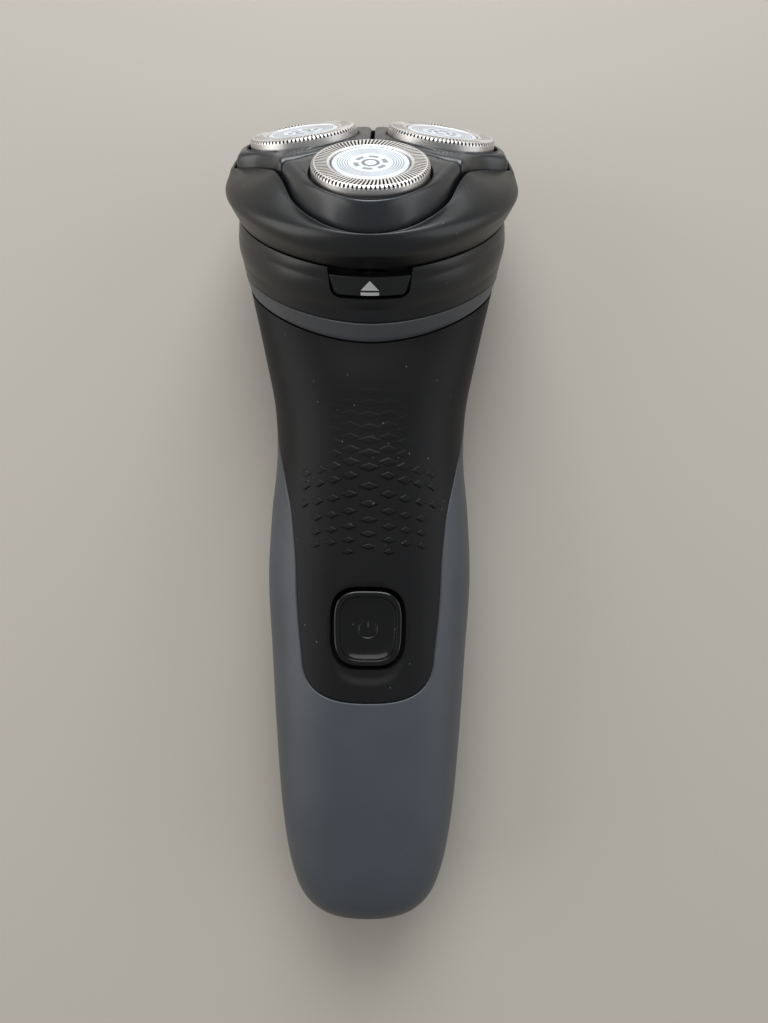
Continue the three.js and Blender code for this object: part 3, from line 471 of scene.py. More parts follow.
power_low, power_high = (np.array(corner) / MM - handle_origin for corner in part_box("power_button"))
POWER_Y = (power_low[1] + power_high[1]) / 2
BUTTON_HALF = np.array([power_high[0] - power_low[0], power_high[1] - power_low[1]]) / 2
SURROUND = 0.85
middle = handle_origin + np.array([0, POWER_Y, 30])
reach = np.array([BUTTON_HALF[0] + SURROUND, BUTTON_HALF[1] + SURROUND, 12])
well = block("button_well", middle - reach, middle + reach, 3.4)
SOCKET_HEIGHT = 16.2
MOUTH_HALF = np.array([4.0, 3.0, 2.6])
mouth_middle = handle_origin + np.array([0.0, TAIL_Y, SOCKET_HEIGHT])
mouth = block("socket_mouth", mouth_middle - MOUTH_HALF, mouth_middle + MOUTH_HALF, 6.0, along=1)
shell = surface("front_shell_skin", front_shell(), SLATE, "handle", "slate_plastic", merge=0.004,
                holes=[mouth, well])
bpy.data.objects.remove(mouth)
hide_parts("front_shell")

# ---- grip panel ----------------------------------------------------------------------------------------------
# Black textured ABS over the front of the neck and the button, with a dished seat round the power button.
PANEL_WALL = 1.1
GRIP_BLACK = moulding("grip_black_moulding", (0.0062, 0.0062, 0.0066), 0.44, speckle=0.4)


def squircle(x, y, half, fullness=3.4):
    """1 on the outline of a rounded rectangle of these half sizes, less inside."""
    return (np.abs(x / half[0]) ** fullness + np.abs(y / half[1]) ** fullness) ** (1 / fullness)


def grip_panel():
    """Rows along the handle and columns across the panel, bunched towards its edges, which are rolled; the skin sinks
    in a shallow dish round the button."""
    places, edge = panel_outline(0.0, 70)
    edge = np.minimum(edge, parting_turn(places) - PART_GAP)
    across = np.linspace(-1, 1, 170)
    across = np.sign(across) * (1 - (1 - np.abs(across)) ** 1.4)
    turn = edge[:, None] * across
    place = np.broadcast_to(places[:, None], turn.shape)
    drop = rolled(outline_distance(place, turn), EDGE_ROLL)
    flat = handle_skin(place, FRONT + turn) - handle_origin
    outline = squircle(flat[..., 0], flat[..., 1] - POWER_Y + 1.2, BUTTON_HALF + np.array([1.0, 2.4]), 2.8)
    dish = np.clip((1.07 - outline) / 0.22, 0, 1)
    drop = drop + 0.5 * dish * dish * (3 - 2 * dish)
    return walled(handle_skin(place, FRONT + turn, drop), handle_skin(place, FRONT + turn, drop + PANEL_WALL))


panel = surface("grip_panel_skin", grip_panel(), GRIP_BLACK, "handle", "black_plastic", merge=0.004,
                holes=[well])
bpy.data.objects.remove(well)
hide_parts("front_panel")

# ---- back shell ----------------------------------------------------------------------------------------------
# Black half shell behind the parting line, with a long flat where the shaver rests.
BACK_BLACK = moulding("back_black_moulding", (0.0066, 0.0066, 0.0070), 0.5, grain=0.5, grain_size=0.45)


def back_shell():
    """Rows along the handle, columns round the back from one parting line to the other, cut flat at the table."""
    places = TAIL_Y + (NECK_TOP - TAIL_Y) * np.linspace(0, 1, 260) ** 1.5
    start = parting_turn(places) + PART_GAP
    turn = start[:, None] + (2 * math.pi - 2 * start)[:, None] * np.linspace(0, 1, 160)
    place = np.broadcast_to(places[:, None], turn.shape)
    outer = handle_skin(place, FRONT + turn)
    inner = handle_skin(np.maximum(place, TAIL_Y + WALL), FRONT + turn, WALL)
    outer[..., 2] = np.maximum(outer[..., 2], 0.0)
    inner[..., 2] = np.maximum(inner[..., 2], WALL)
    return walled(outer, inner)


back = surface("back_shell_skin", back_shell(), BACK_BLACK, "handle", "black_plastic", merge=0.004)
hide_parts("back_shell")


# ---- collar ring ---------------------------------------------------------------------------------------------
# A satin grey painted ring between the handle and the hair chamber.
def band(outline, around, rows, inset=1.5):
    """A closed wall: the outline's rings from bottom to top outside, then back down inside by inset. Between rings
    the outside is a straight or curved run of the given number of rows."""
    turn = np.linspace(0, 2 * math.pi, around, endpoint=False)
    outer = []
    for (ring_a, level_a), (ring_b, level_b) in zip(outline[:-1], outline[1:]):
        for share in np.linspace(0, 1, rows, endpoint=False):
            ring = tuple(a + (b - a) * share for a, b in zip(ring_a, ring_b))
            outer.append(head_ring(turn, ring, level_a + (level_b - level_a) * share))
    outer.append(head_ring(turn, *outline[-1]))
    inner = [head_ring(turn, ring, level, inset) for ring, level in outline[::-1]]
    return from_head(np.stack(outer + inner))


def shrunk(ring, by):
    """The same ring drawn in by so many mm."""
    half_width, front, back, widest = ring
    return (half_width - by, front - by, back - by, widest)


RING_GREY = moulding("ring_grey_paint", (0.058, 0.060, 0.065), 0.38, grain=0.12, grain_size=0.15, specular=0.3)
ring_outline = [
    (shrunk(NECK, 0.2), NECK_LEVELS), (NECK, NECK_LEVELS + 0.2),
    (COLLAR, COLLAR_LEVELS - 0.5), (shrunk(COLLAR, 0.2), COLLAR_LEVELS - 0.3),
]
ring = surface("collar_ring_skin", band(ring_outline, 240, 4), RING_GREY, "handle", "ring_plastic", along=True)
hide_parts("collar_ring")

# ---- hair chamber --------------------------------------------------------------------------------------------
# Satin black cup that collects the hair. Its lower edge turns in along a soft crease; the release button's slot is
# open upwards, under the wings.
SATIN = moulding("satin_black_moulding", (0.0056, 0.0060, 0.0066), 0.33, grain=0.10, grain_size=0.12,
                 speckle=0.3, specular=0.4)


def between(first, second, share, bulge=0.0):
    """(ring, levels) at a share of the way from one to the other, pushed out by up to bulge mm halfway."""
    ring = tuple(a + (b - a) * share for a, b in zip(first[0], second[0]))
    return shrunk(ring, -4 * bulge * share * (1 - share)), first[1] + (second[1] - first[1]) * share


chamber_rings = [(COLLAR, COLLAR_LEVELS), (CREASE, COLLAR_LEVELS + 2.6), (BELLY, SPLIT_LEVELS - 2.6),
                 (SPLIT, SPLIT_LEVELS - 0.3)]


def chamber_wall(share):
    """(ring, levels) of the chamber's outer skin: 0 at the collar, 1 at the crease, 2 at the belly, 3 at the top."""
    n = min(int(share), 2)
    return between(chamber_rings[n], chamber_rings[n + 1], share - n, (0.05, 0.35, 0.1)[n])


def hair_chamber():
    """Rings from the collar up to the wings, then back down inside."""
    turn = np.linspace(0, 2 * math.pi, 480, endpoint=False)
    outer = [head_ring(turn, *chamber_wall(share)) for share in np.linspace(0, 3, 40)]
    inner = [head_ring(turn, *chamber_wall(share), 1.5) for share in np.linspace(3, 0, 12)]
    return from_head(np.stack(outer + inner))


RELEASE_TOP, RELEASE_BOTTOM, RELEASE_HEIGHT, RELEASE_CORNER = 7.8, 6.8, 4.1, 1.1
RELEASE_LEVEL = -22.25


def release_half(up, out=0.0):
    """Half width of the release button at a height over its lower edge: it widens upwards and its lower corners are
    quarter rounds. out widens it."""
    up = np.asarray(up, float)
    half = RELEASE_BOTTOM + (RELEASE_TOP - RELEASE_BOTTOM) * up / RELEASE_HEIGHT
    corner = np.clip(RELEASE_CORNER + out - (up + out), 0, RELEASE_CORNER + out)
    return half + out - (RELEASE_CORNER + out) + np.sqrt(np.maximum((RELEASE_CORNER + out) ** 2 - corner**2, 0))


def release_slot():
    """A cutting block in the shape of the button, with a gap all round and open upwards."""
    up = np.concatenate([np.linspace(-0.45, 1.3, 24), [RELEASE_HEIGHT + 6]])
    half = release_half(np.minimum(up, RELEASE_HEIGHT + 0.5), 0.45)
    side = np.stack([half, up + RELEASE_LEVEL], -1)
    outline = np.concatenate([side, side[::-1] * [-1, 1]])
    front = np.stack([outline[:, 0], np.full(len(outline), -34.0), outline[:, 1]], -1)
    return cutter("release_slot", from_head(np.concatenate([front, front + [0, 14, 0]])))


def hinge_room(name, half_width, reach):
    """A cutting block round the hinge, in the head's frame."""
    outline = HINGE_IN_HEAD + np.array([[half_width * a, reach * b, reach * c] for a, b, c in
                                        [(-1, -1, -1), (-1, 1, -1), (-1, 1, 1), (-1, -1, 1),
                                         (1, -1, -1), (1, 1, -1), (1, 1, 1), (1, -1, 1)]])
    return cutter(name, from_head(outline))


slot_tool, knuckle_room = release_slot(), hinge_room("knuckle_room", 3.3, 2.2)
chamber = surface("hair_chamber_skin", hair_chamber(), SATIN, "handle", "satin_black", along=True,
                  holes=[slot_tool, knuckle_room])
for tool in (slot_tool, knuckle_room):
    bpy.data.objects.remove(tool)
FLOOR_LEVEL, FLOOR_DEPTH = -22.5, 2.0
BEARING_CIRCLE, BEARING_BORE = 15.5, 4.0
BARREL, BROKEN_EDGE = 1.7, 0.2
CAPS = {"front": -90.0, "right": 30.0, "left": 150.0}


def chamber_floor():
    """Rings of the chamber's own oval at shrinking sizes: the floor's top, its edge and its underside."""
    turn = np.linspace(0, 2 * math.pi, 240, endpoint=False)
    shares = np.concatenate([np.linspace(0, 1, 12), np.linspace(1, 0, 12)])
    level = np.concatenate([np.full(12, FLOOR_LEVEL), np.full(12, FLOOR_LEVEL - FLOOR_DEPTH)])
    rings = [head_ring(turn, shrunk(CREASE, 1.2), np.array([z, z, z])) * [share, share, 1]
             for share, z in zip(shares, level)]
    return from_head(np.stack(rings))


def bearing_hole(bearing):
    """A round cutting tool through the floor on a spindle's axis."""
    turn = np.linspace(0, 2 * math.pi, 96, endpoint=False)
    x, y = (BEARING_CIRCLE * f(math.radians(bearing)) for f in (math.cos, math.sin))
    ring = np.stack([x + BEARING_BORE * np.cos(turn), y + BEARING_BORE * np.sin(turn), np.full(96, -30.0)], -1)
    return cutter("bearing_hole", from_head(np.concatenate([ring, ring + [0, 0, 20]])))


def hinge_leaf(low, high, foot):
    """A barrel round the hinge line with a flat web to the foot, which is two points (y, z): the outline is the web's
    end and the far half of the barrel, carried along the hinge between low and high, with its edges broken."""
    foot = np.array(foot) - HINGE_IN_HEAD[1:]
    away = -foot.mean(0)
    start = math.atan2(away[1], away[0]) - 1.75
    sweep = np.linspace(start, start + 3.5, 40)
    outline = np.concatenate([BARREL * np.stack([np.cos(sweep), np.sin(sweep)], -1), foot])
    middle = outline.mean(0)
    rows = []
    ends = [(low, 0.0), (low, 0.88), (low + BROKEN_EDGE, 1.0)]
    for x, share in ends + [(low + high - x, share) for x, share in ends[::-1]]:
        ring = middle + (outline - middle) * share + HINGE_IN_HEAD[1:]
        rows.append(np.concatenate([np.full((len(ring), 1), x), ring], axis=1))
    return from_head(np.stack(rows))


holes = [bearing_hole(bearing) for bearing in CAPS.values()]
floor_plate = surface("chamber_floor", chamber_floor(), SATIN, "handle", "satin_black", holes=holes)
for hole in holes:
    bpy.data.objects.remove(hole)
arms = [surface(f"hinge_arm_{side}", hinge_leaf(low, low + 4.0, ((19.6, -22.4), (22.2, -22.4))), SATIN, "handle",
                "satin_black") for side, low in (("left", -7.3), ("right", 3.3))]
for piece in (chamber, floor_plate, *arms):
    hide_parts("hair_chamber")

# ---- release button ------------------------------------------------------------------------------------------
# Satin black key whose face follows the chamber, printed with a pale eject mark.


def chamber_face(x, level, inset):
    """Points of the chamber's front skin at x and at a level of the head's frame, set in by so many mm."""
    low_level, high_level = chamber_rings[1][1][1], chamber_rings[3][1][1]
    share = (level - low_level) / (high_level - low_level)
    ring = [a + (b - a) * share for a, b in zip(CREASE, SPLIT)]
    c = np.clip(np.abs(x) / (ring[0] - inset), 0, 1) ** (1.85 / 2)
    s = np.sqrt(1 - c * c)
    y = ring[3] - (ring[1] - inset + ring[3]) * s ** (2 / 1.85)
    return from_head(np.stack([x, y - 0.35, level + 0.25 * (1 - s * s)], -1))


def release_key():
    """Rows up the button, columns across it; the rim of the face is rolled."""
    up = RELEASE_HEIGHT * (1 - np.cos(np.linspace(0, math.pi, 60))) / 2
    across = np.sin(np.linspace(-math.pi / 2, math.pi / 2, 90))
    half = release_half(up)
    x = half[:, None] * across
    rise = np.broadcast_to(up[:, None], x.shape)
    edge = np.minimum(np.minimum(rise, RELEASE_HEIGHT - rise), half[:, None] - np.abs(x))
    level = rise + RELEASE_LEVEL
    drop = rolled(edge, 0.35)
    return walled(chamber_face(x, level, 0.25 + drop), chamber_face(x, level, 3.2))


key = surface("release_key", release_key(), SATIN, "release_button_body", "satin_black")
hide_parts("release_button")

PRINT_GREY = moulding("pale_print", (0.50, 0.50, 0.50), 0.5, grain=0.05)
MARK_HALF = 1.72


def print_patch(low, high, half_low, half_high):
    """A printed patch on the button's face, from one height to another, with its half width at each."""
    up = np.linspace(low, high, 12)
    half = np.linspace(half_low, half_high, 12)
    x = half[:, None] * np.linspace(-1, 1, 12)
    level = np.broadcast_to(up[:, None], x.shape) + RELEASE_LEVEL
    return walled(chamber_face(x, level, 0.23), chamber_face(x, level, 0.27))


for name, patch in (("eject_triangle", (1.35, 3.35, MARK_HALF, 0.02)),
                    ("eject_bar", (0.3, 0.95, MARK_HALF, MARK_HALF))):
    surface(name, print_patch(*patch), PRINT_GREY, "release_button_body", "satin_black", merge=0.0001)

# ---- wings ---------------------------------------------------------------------------------------------------
# The head unit's frame: a black cup that opens to the petals' outline and rises in a wing at either side. A bevelled
# band runs round its lower edge.
# bearing in degrees, reach and height of the petals' outer edge, from front to back of one side
PETAL_EDGE = np.array([
    [-90, 28.8, -8.5], [-78, 27.6, -8.2], [-66, 25.4, -7.3], [-52, 22.9, -5.8], [-40, 20.8, -3.9], [-30, 20, -3.1],
    [-14, 20.4, -3.7], [-2, 23, -4.6], [8, 28.4, -5.7], [21, 29.8, -5.2], [38, 30.4, -4.6], [53, 27.6, -4.4],
    [70, 22.6, -3.0], [90, 20, -1.8],
])
LIP = 0.9
PETAL_EDGE_GAP = 0.6


def cubic(at, x, y):
    """y at a place: a cubic between each two known places, its slopes taken from their neighbours, level at both
    ends."""
    slopes = np.gradient(y, x)
    slopes[[0, -1]] = 0
    low = np.clip(np.searchsorted(x, at, side="right") - 1, 0, len(x) - 2)
    step = x[low + 1] - x[low]
    t = np.clip((at - x[low]) / step, 0, 1)
    return (y[low] * (2 * t**3 - 3 * t**2 + 1) + slopes[low] * step * (t**3 - 2 * t**2 + t)
            + y[low + 1] * (3 * t**2 - 2 * t**3) + slopes[low + 1] * step * (t**3 - t**2))


def folded(bearing):
    """A bearing brought to the right-hand side of the head: -90 at the front to 90 at the back."""
    turned = (bearing + 180) % 360 - 180
    return np.where(np.abs(turned) > 90, np.sign(turned) * 180 - turned, turned)


def rim_reach(bearing):
    """How far the wings' rim lies from the head's axis, by halving against its oval."""
    near, far = np.zeros(bearing.shape), np.full(bearing.shape, 60.0)
    half_width, front, back, widest = RIM
    for _ in range(24):
        middle = (near + far) / 2
        x = middle * np.cos(np.radians(bearing))
        y = middle * np.sin(np.radians(bearing)) - widest
        depth = np.where(y > 0, back - widest, front + widest)
        fullness = np.where(y > 0, 3.0, 1.85)
        outside = (np.abs(x) / half_width) ** fullness + (np.abs(y) / depth) ** fullness > 1
        near, far = np.where(outside, near, middle), np.where(outside, middle, far)
    return near


def petal_edge(bearing):
    """(reach, height) of the petals' outer edge: as listed, and always inside the wings' lip."""
    at = folded(bearing)
    reach = cubic(at, PETAL_EDGE[:, 0], PETAL_EDGE[:, 1])
    height = cubic(at, PETAL_EDGE[:, 0], PETAL_EDGE[:, 2])
    return np.minimum(reach, rim_reach(bearing) - LIP - PETAL_EDGE_GAP), height


def mouth_ring(turn, outward, down):
    """The wings' mouth: a ring outside the petals' edge by the gap and outward, lower than it by 0.8 mm and down."""
    x, y = oval(turn, *RIM, 1.85, 3.0)
    bearing = np.degrees(np.arctan2(y, x))
    reach, height = petal_edge(bearing)
    reach = reach + PETAL_EDGE_GAP + outward
    return np.stack([reach * np.cos(np.radians(bearing)), reach * np.sin(np.radians(bearing)),
                     height - 0.8 - down], -1)


def wings():
    """Rings up the bevel to the widest line, a quadratic curve through the rim to the lip, a round lip, and back
    down inside."""
    turn = np.linspace(0, 2 * math.pi, 900, endpoint=False)
    foot = (SPLIT, SPLIT_LEVELS)
    belt = (WIDEST, np.array([-10.8, -13.0, -10.6]))
    rows = [head_ring(turn, shrunk(SPLIT, 0.25), SPLIT_LEVELS + 0.02)]
    rows += [head_ring(turn, *between(foot, belt, share, 0.12)) for share in np.linspace(0.03, 0.97, 7)]
    low = head_ring(turn, *belt)
    rim = head_ring(turn, shrunk(RIM, -0.1), np.array([-7.4, -9.5, -7.7]))
    lip = mouth_ring(turn, 0.45, 0.0)
    control = 2 * rim - (low + lip) / 2
    for t in np.linspace(0.04, 1, 16):
        rows.append((1 - t) ** 2 * low + 2 * t * (1 - t) * control + t * t * lip)
    rows += [mouth_ring(turn, outward, down) for outward, down in
             [(0.38, -0.07), (0.25, -0.12), (0.12, -0.07), (0.03, 0.03), (0, 0.2), (0, 1.2), (0, 2.6)]]
    inner_belt = (WIDEST, belt[1] - 0.4)
    rows += [head_ring(turn, *between(inner_belt, foot, share), 1.5) for share in np.linspace(0, 1, 5)]
    return from_head(np.stack(rows))


WING_BLACK = moulding("wing_black_moulding", (0.0056, 0.0060, 0.0066), 0.36, grain=0.12, grain_size=0.12,
                      speckle=0.6, specular=0.42)
arms_room = hinge_room("arms_room", 7.6, 2.4)
head_frame = surface("wings_skin", wings(), WING_BLACK, "head_unit", "black_plastic", along=True,
                     holes=[arms_room])
bpy.data.objects.remove(arms_room)
knuckle = surface("hinge_knuckle", hinge_leaf(-3.0, 3.0, ((23.4, -10.8), (20.9, -10.8))), WING_BLACK, "head_unit",
                  "black_plastic")
for piece in (head_frame, knuckle):
    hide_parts("head_frame")

# ---- petals --------------------------------------------------------------------------------------------------
# Dark grey satin collars, one round each cap, with full rounded shoulders. Each rocks a little in the wings.
CAP_CIRCLE, CAP_TILT = 16.46, math.radians(8.6)
PETAL_BORE = 11.5
PETAL_SUNK = 1.7
PETAL_GAP = 0.38
PETAL_GREY = moulding("petal_grey_moulding", (0.0115, 0.0135, 0.0160), 0.30, grain=0.10, grain_size=0.12,
                      speckle=0.2, specular=0.55)


def petal_reach(bearing, direction):
    """How far a petal reaches from its cap's centre in each direction, by halving: to the outer edge or to the gap
    beside its neighbour."""
    near, far = np.full(direction.shape, PETAL_BORE + 0.5), np.full(direction.shape, 40.0)
    for _ in range(26):
        middle = (near + far) / 2
        x = CAP_CIRCLE * math.cos(math.radians(bearing)) + middle * np.cos(direction)
        y = CAP_CIRCLE * math.sin(math.radians(bearing)) + middle * np.sin(direction)
        own = np.degrees(np.arctan2(y, x))
        off = np.abs((own - bearing + 540) % 360 - 180)
        apart = np.hypot(x, y) * np.sin(np.radians(60 - off))
        inside = (np.hypot(x, y) < petal_edge(own)[0]) & (apart > PETAL_GAP)
        near, far = np.where(inside, middle, near), np.where(inside, far, middle)
    return near


def petal(bearing):
    """Rings about the cap: up the bore with a small round, over the top in the cap's own plane, round a superelliptic
    shoulder to the outer edge, and down the skirt."""
    direction = np.linspace(0, 2 * math.pi, 540, endpoint=False)
    slope = math.tan(CAP_TILT)
    outward = np.cos(direction - math.radians(bearing))
    reach = petal_reach(bearing, direction)
    kernel = np.hanning(13)
    kernel /= kernel.sum()
    reach = np.minimum(reach, np.convolve(np.concatenate([reach[-6:], reach, reach[:6]]), kernel, "valid"))
    middle_x, middle_y = (CAP_CIRCLE * f(math.radians(bearing)) for f in (math.cos, math.sin))
    own = np.degrees(np.arctan2(middle_y + reach * np.sin(direction), middle_x + reach * np.cos(direction)))
    distance = np.hypot(middle_x + reach * np.cos(direction), middle_y + reach * np.sin(direction))
    edge_reach, edge_height = petal_edge(own)
    top = -PETAL_SUNK - PETAL_BORE * outward * slope
    near_edge = np.clip((distance / edge_reach - 0.72) / 0.26, 0, 1)
    near_edge = near_edge**2 * (3 - 2 * near_edge)
    side = top - 1.1
    foot = side + (np.minimum(side, edge_height) - side) * near_edge
    room = reach - PETAL_BORE
    shoulder = np.minimum(0.82 * room, 2.4)
    start = reach - shoulder
    rows = [(np.full(reach.shape, PETAL_BORE), top - 3.0),
            (np.full(reach.shape, PETAL_BORE), top - 0.45),
            (PETAL_BORE + 0.03 * room, top - 0.14),
            (PETAL_BORE + 0.10 * room, top)]
    for share in np.linspace(0.3, 1, 5):
        across = PETAL_BORE + 0.10 * room + (start - PETAL_BORE - 0.10 * room) * share
        rows.append((across, top - 0.25 * share**2))
    for u in np.linspace(0.08, 1, 16) * math.pi / 2:
        rows.append((start + shoulder * math.sin(u) ** 0.85, foot + (top - 0.25 - foot) * math.cos(u) ** 0.85))
    rows.append((reach, foot - 2.6))
    rows.append((reach - 0.9 * np.minimum(room, 1.2), foot - 2.6))
    rows.append((PETAL_BORE + 0.05 * room, top - 3.0))
    points = [np.stack([middle_x + radius * np.cos(direction), middle_y + radius * np.sin(direction), height], -1)
              for radius, height in rows]
    return from_head(np.stack(points))


for side, bearing in CAPS.items():
    collar = surface(f"petal_{side}_skin", petal(bearing), PETAL_GREY, f"petal_{side}_body", "petal_plastic",
                     along=True)
    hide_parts(f"petal_{side}")

# ---- shaving caps --------------------------------------------------------------------------------------------
# Pressed and ground steel cups: a ring of fine slanted slots on the shaving track, and a second ring of short ones
# over the rim. The slots' floors are painted near black as painted shade for their depth, and the side wall is
# painted darker than the track as painted shade.
SLOTS = 84
TRACK_RIM = 10.3
SLOT_SLANT = 0.022
# Painted shade: how much darker the cup's side wall is painted than its track.
SIDE_WALL_PAINTED_SHADE = 0.4


def steel(name, colour, roughness, dark=None):
    """Bare steel: very fine noise as grinding marks, slow noise in gloss and tone. dark is (attribute, colour): the
    colour shows where that attribute of the points is 1."""
    material, nodes, links, shader = new_material(name)
    place = nodes.new("ShaderNodeTexCoord").outputs["Object"]
    fine = nodes.new("ShaderNodeTexNoise")
    fine.inputs["Scale"].default_value = 2600.0
    fine.inputs["Detail"].default_value = 4.0
    slow = nodes.new("ShaderNodeTexNoise")
    slow.inputs["Scale"].default_value = 160.0
    for noise in (fine, slow):
        links.new(place, noise.inputs["Vector"])
    rough = nodes.new("ShaderNodeMapRange")
    rough.inputs["To Min"].default_value = roughness * 0.7
    rough.inputs["To Max"].default_value = roughness * 1.4
    links.new(slow.outputs["Fac"], rough.inputs["Value"])
    links.new(rough.outputs["Result"], shader.inputs["Roughness"])
    shader.inputs["Metallic"].default_value = 1.0
    tone = nodes.new("ShaderNodeMix")
    tone.data_type = "RGBA"
    tone.inputs["A"].default_value = (*[c * 0.86 for c in colour], 1)
    tone.inputs["B"].default_value = (*colour, 1)
    links.new(slow.outputs["Fac"], tone.inputs["Factor"])
    colour_out = tone.outputs["Result"]
    if dark:
        mask = nodes.new("ShaderNodeAttribute")
        mask.attribute_name = dark[0]
        mix = nodes.new("ShaderNodeMix")
        mix.data_type = "RGBA"
        mix.inputs["B"].default_value = (*dark[1], 1)
        links.new(mask.outputs["Fac"], mix.inputs["Factor"])
        links.new(colour_out, mix.inputs["A"])
        colour_out = mix.outputs["Result"]
    links.new(colour_out, shader.inputs["Base Color"])
    bump = nodes.new("ShaderNodeBump")
    bump.inputs["Strength"].default_value = 0.12
    bump.inputs["Distance"].default_value = 0.004 * MM
    links.new(fine.outputs["Fac"], bump.inputs["Height"])
    links.new(bump.outputs["Normal"], shader.inputs["Normal"])
    return material


def from_cap(points, bearing):
    """Points of a cap's own frame, +Z out of its track, as points of the shaver's frame."""
    lean = np.array(Matrix.Rotation(CAP_TILT, 3, Vector((-math.sin(math.radians(bearing)),
                                                         math.cos(math.radians(bearing)), 0))))
    middle = np.array([math.cos(math.radians(bearing)), math.sin(math.radians(bearing)), 0]) * CAP_CIRCLE
    return from_head(points @ lean.T + middle)


# radius, height, and how far a slot's floor lies in from there, along the radius and down
CAP_PROFILE = np.array([
    [11.15, -6.0, 0, 0], [11.10, -3.2, 0, 0], [11.04, -0.80, 0, 0], [11.02, -0.62, 0, 0],
    [11.01, -0.60, -0.30, 0], [10.98, -0.44, -0.30, 0], [10.90, -0.28, -0.28, -0.10], [10.78, -0.15, -0.22, -0.22],
    [10.62, -0.07, -0.12, -0.30], [10.54, -0.05, -0.04, -0.30], [10.52, -0.04, 0, 0], [10.36, -0.01, 0, 0],
    [10.30, 0.0, 0, 0], [10.26, 0.0, 0, -0.5], [9.7, 0.0, 0, -0.5], [9.1, 0.0, 0, -0.5], [8.5, 0.0, 0, -0.5],
    [8.04, 0.0, 0, -0.5], [8.0, 0.0, 0, 0], [7.72, -0.02, 0, 0], [7.56, -0.12, 0, 0], [7.5, -0.35, 0, 0],
    [7.5, -1.6, 0, 0], [6.4, -1.6, 0, 0], [6.4, -2.2, 0, 0], [8.4, -2.2, 0, 0], [8.4, -0.9, 0, 0],
    [10.0, -0.9, 0, 0], [10.4, -1.4, 0, 0], [10.55, -6.0, 0, 0],
])
# share of a slot's pitch, and how deep it is there
SLOT_COLUMNS = np.array([[0.0, 0], [0.04, 1], [0.48, 1], [0.52, 0], [0.68, 0], [0.85, 0]])


def shaving_cap(bearing):
    """Rows along the cup's profile, columns round it; each slot's columns sink to its floor, and the slots on the
    track slant by a turn that grows inwards. Also the painted shade: full in the slots, partly on the side wall."""
    shares = SLOT_COLUMNS[:, 0][None, :] + np.arange(SLOTS)[:, None]
    turn = 2 * math.pi * shares.ravel() / SLOTS
    deep = np.tile(SLOT_COLUMNS[:, 1], SLOTS)
    radius, height, inward, down = (CAP_PROFILE[:, n][:, None] for n in range(4))
    on_track = (radius > 7.9) & (radius < TRACK_RIM) & (height > -0.01)
    slant = np.where(on_track, (TRACK_RIM - radius) * SLOT_SLANT, 0.0)
    r = radius + inward * deep
    z = height + down * deep
    round_turn = turn[None, :] + slant
    points = np.stack([r * np.cos(round_turn), r * np.sin(round_turn), z], -1)
    # Painted shade, kept as the slot attribute: the slots' floors are painted near black for the shade deep in the
    # slots, and the side wall is painted darker for the shade it shows.
    dark = ((inward != 0) | (down != 0)) * deep
    dark = np.maximum(dark, SIDE_WALL_PAINTED_SHADE * ((radius > 11.01) & (height < -0.6)))
    return from_cap(points, bearing), dark


# The near black mixed in by the slot attribute is painted shade: full in the slots, and partly on the side wall.
CAP_STEEL = steel("cap_steel", (0.88, 0.86, 0.84), 0.36, ("slot", (0.012, 0.011, 0.010)))
for side, bearing in CAPS.items():
    points, dark = shaving_cap(bearing)
    cup = surface(f"shaving_cap_{side}_skin", points, CAP_STEEL, f"cap_{side}_body", "steel",
                  along=True, attributes={"slot": dark})
    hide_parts(f"shaving_cap_{side}")

# ---- cap discs -----------------------------------------------------------------------------------------------
# Pale satin discs in the middle of the caps, turned with a few fine rings, whose grooves are painted dark as painted
# shade, and printed with a plain ring of dashes.
# Radii of the fine turned rings, which are painted dark as painted shade.
SHADED_RING_RADII = (4.3, 4.75, 5.2, 5.65, 6.1)


def cap_disc(bearing):
    """Rows from the middle of the underside out and back to the middle of the top; the printed attribute is 1 on the
    fine rings, where it is painted shade of their grooves, and on the dashes and on the ring inside them, which are
    print."""
    top = np.linspace(6.95, 0.0, 150)
    under = np.array([[0, -1.3], [6.8, -1.3], [7.2, -0.95], [7.2, -0.35], [7.12, -0.18]])
    crown = np.stack([top, -0.10 - 0.12 * (1 - (top / 6.95) ** 2)], -1)
    profile = np.concatenate([under, crown])
    turn = np.linspace(0, 2 * math.pi, 300, endpoint=False)
    radius, height = profile[:, 0][:, None], profile[:, 1][:, None]
    # Painted shade: dark lines painted on the fine turned rings for the shade in their grooves. The hub ring and the
    # dashes are print.
    rings = sum(np.exp(-((radius - ring) / 0.085) ** 2) for ring in SHADED_RING_RADII) * 0.85
    hub = (np.abs(radius - 1.40) < 0.30) * 0.8
    dashes = ((radius > 2.3) & (radius < 3.2) & (np.mod(turn[None, :] * 6 / math.tau, 1) < 0.62)) * 0.7
    printed = np.where(height > -0.3, np.clip(rings + hub + dashes, 0, 1), 0.0) * np.ones((1, len(turn)))
    points = np.stack([radius * np.cos(turn), radius * np.sin(turn), height * np.ones_like(turn)], -1)
    return from_cap(points, bearing), printed


# The dark colour of the printed attribute is print on the dashes and the hub ring, and painted shade on the fine
# rings.
DISC_STEEL = steel("disc_steel", (0.84, 0.90, 0.97), 0.45, ("printed", (0.14, 0.145, 0.155)))
for side, bearing in CAPS.items():
    points, printed = cap_disc(bearing)
    disc = surface(f"cap_disc_{side}_skin", points, DISC_STEEL, f"cap_{side}_body", "steel",
                   attributes={"printed": printed})
    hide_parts(f"cap_disc_{side}")

# ---- power button --------------------------------------------------------------------------------------------
# A glossy black rounded key with a raised rim round a dished face, engraved with a plain on and off mark.
GLOSS_BLACK = moulding("gloss_black_moulding", (0.0032, 0.0032, 0.0032), 0.14, grain=0.02, speckle=0.15,
                       specular=0.3)
POWER_TOP = power_high[2]
KEY_HALF = 6.6
KEY_FULLNESS = 3.4
MARK_RADIUS, MARK_LINE, MARK_DEPTH = 1.8, 0.12, 0.07


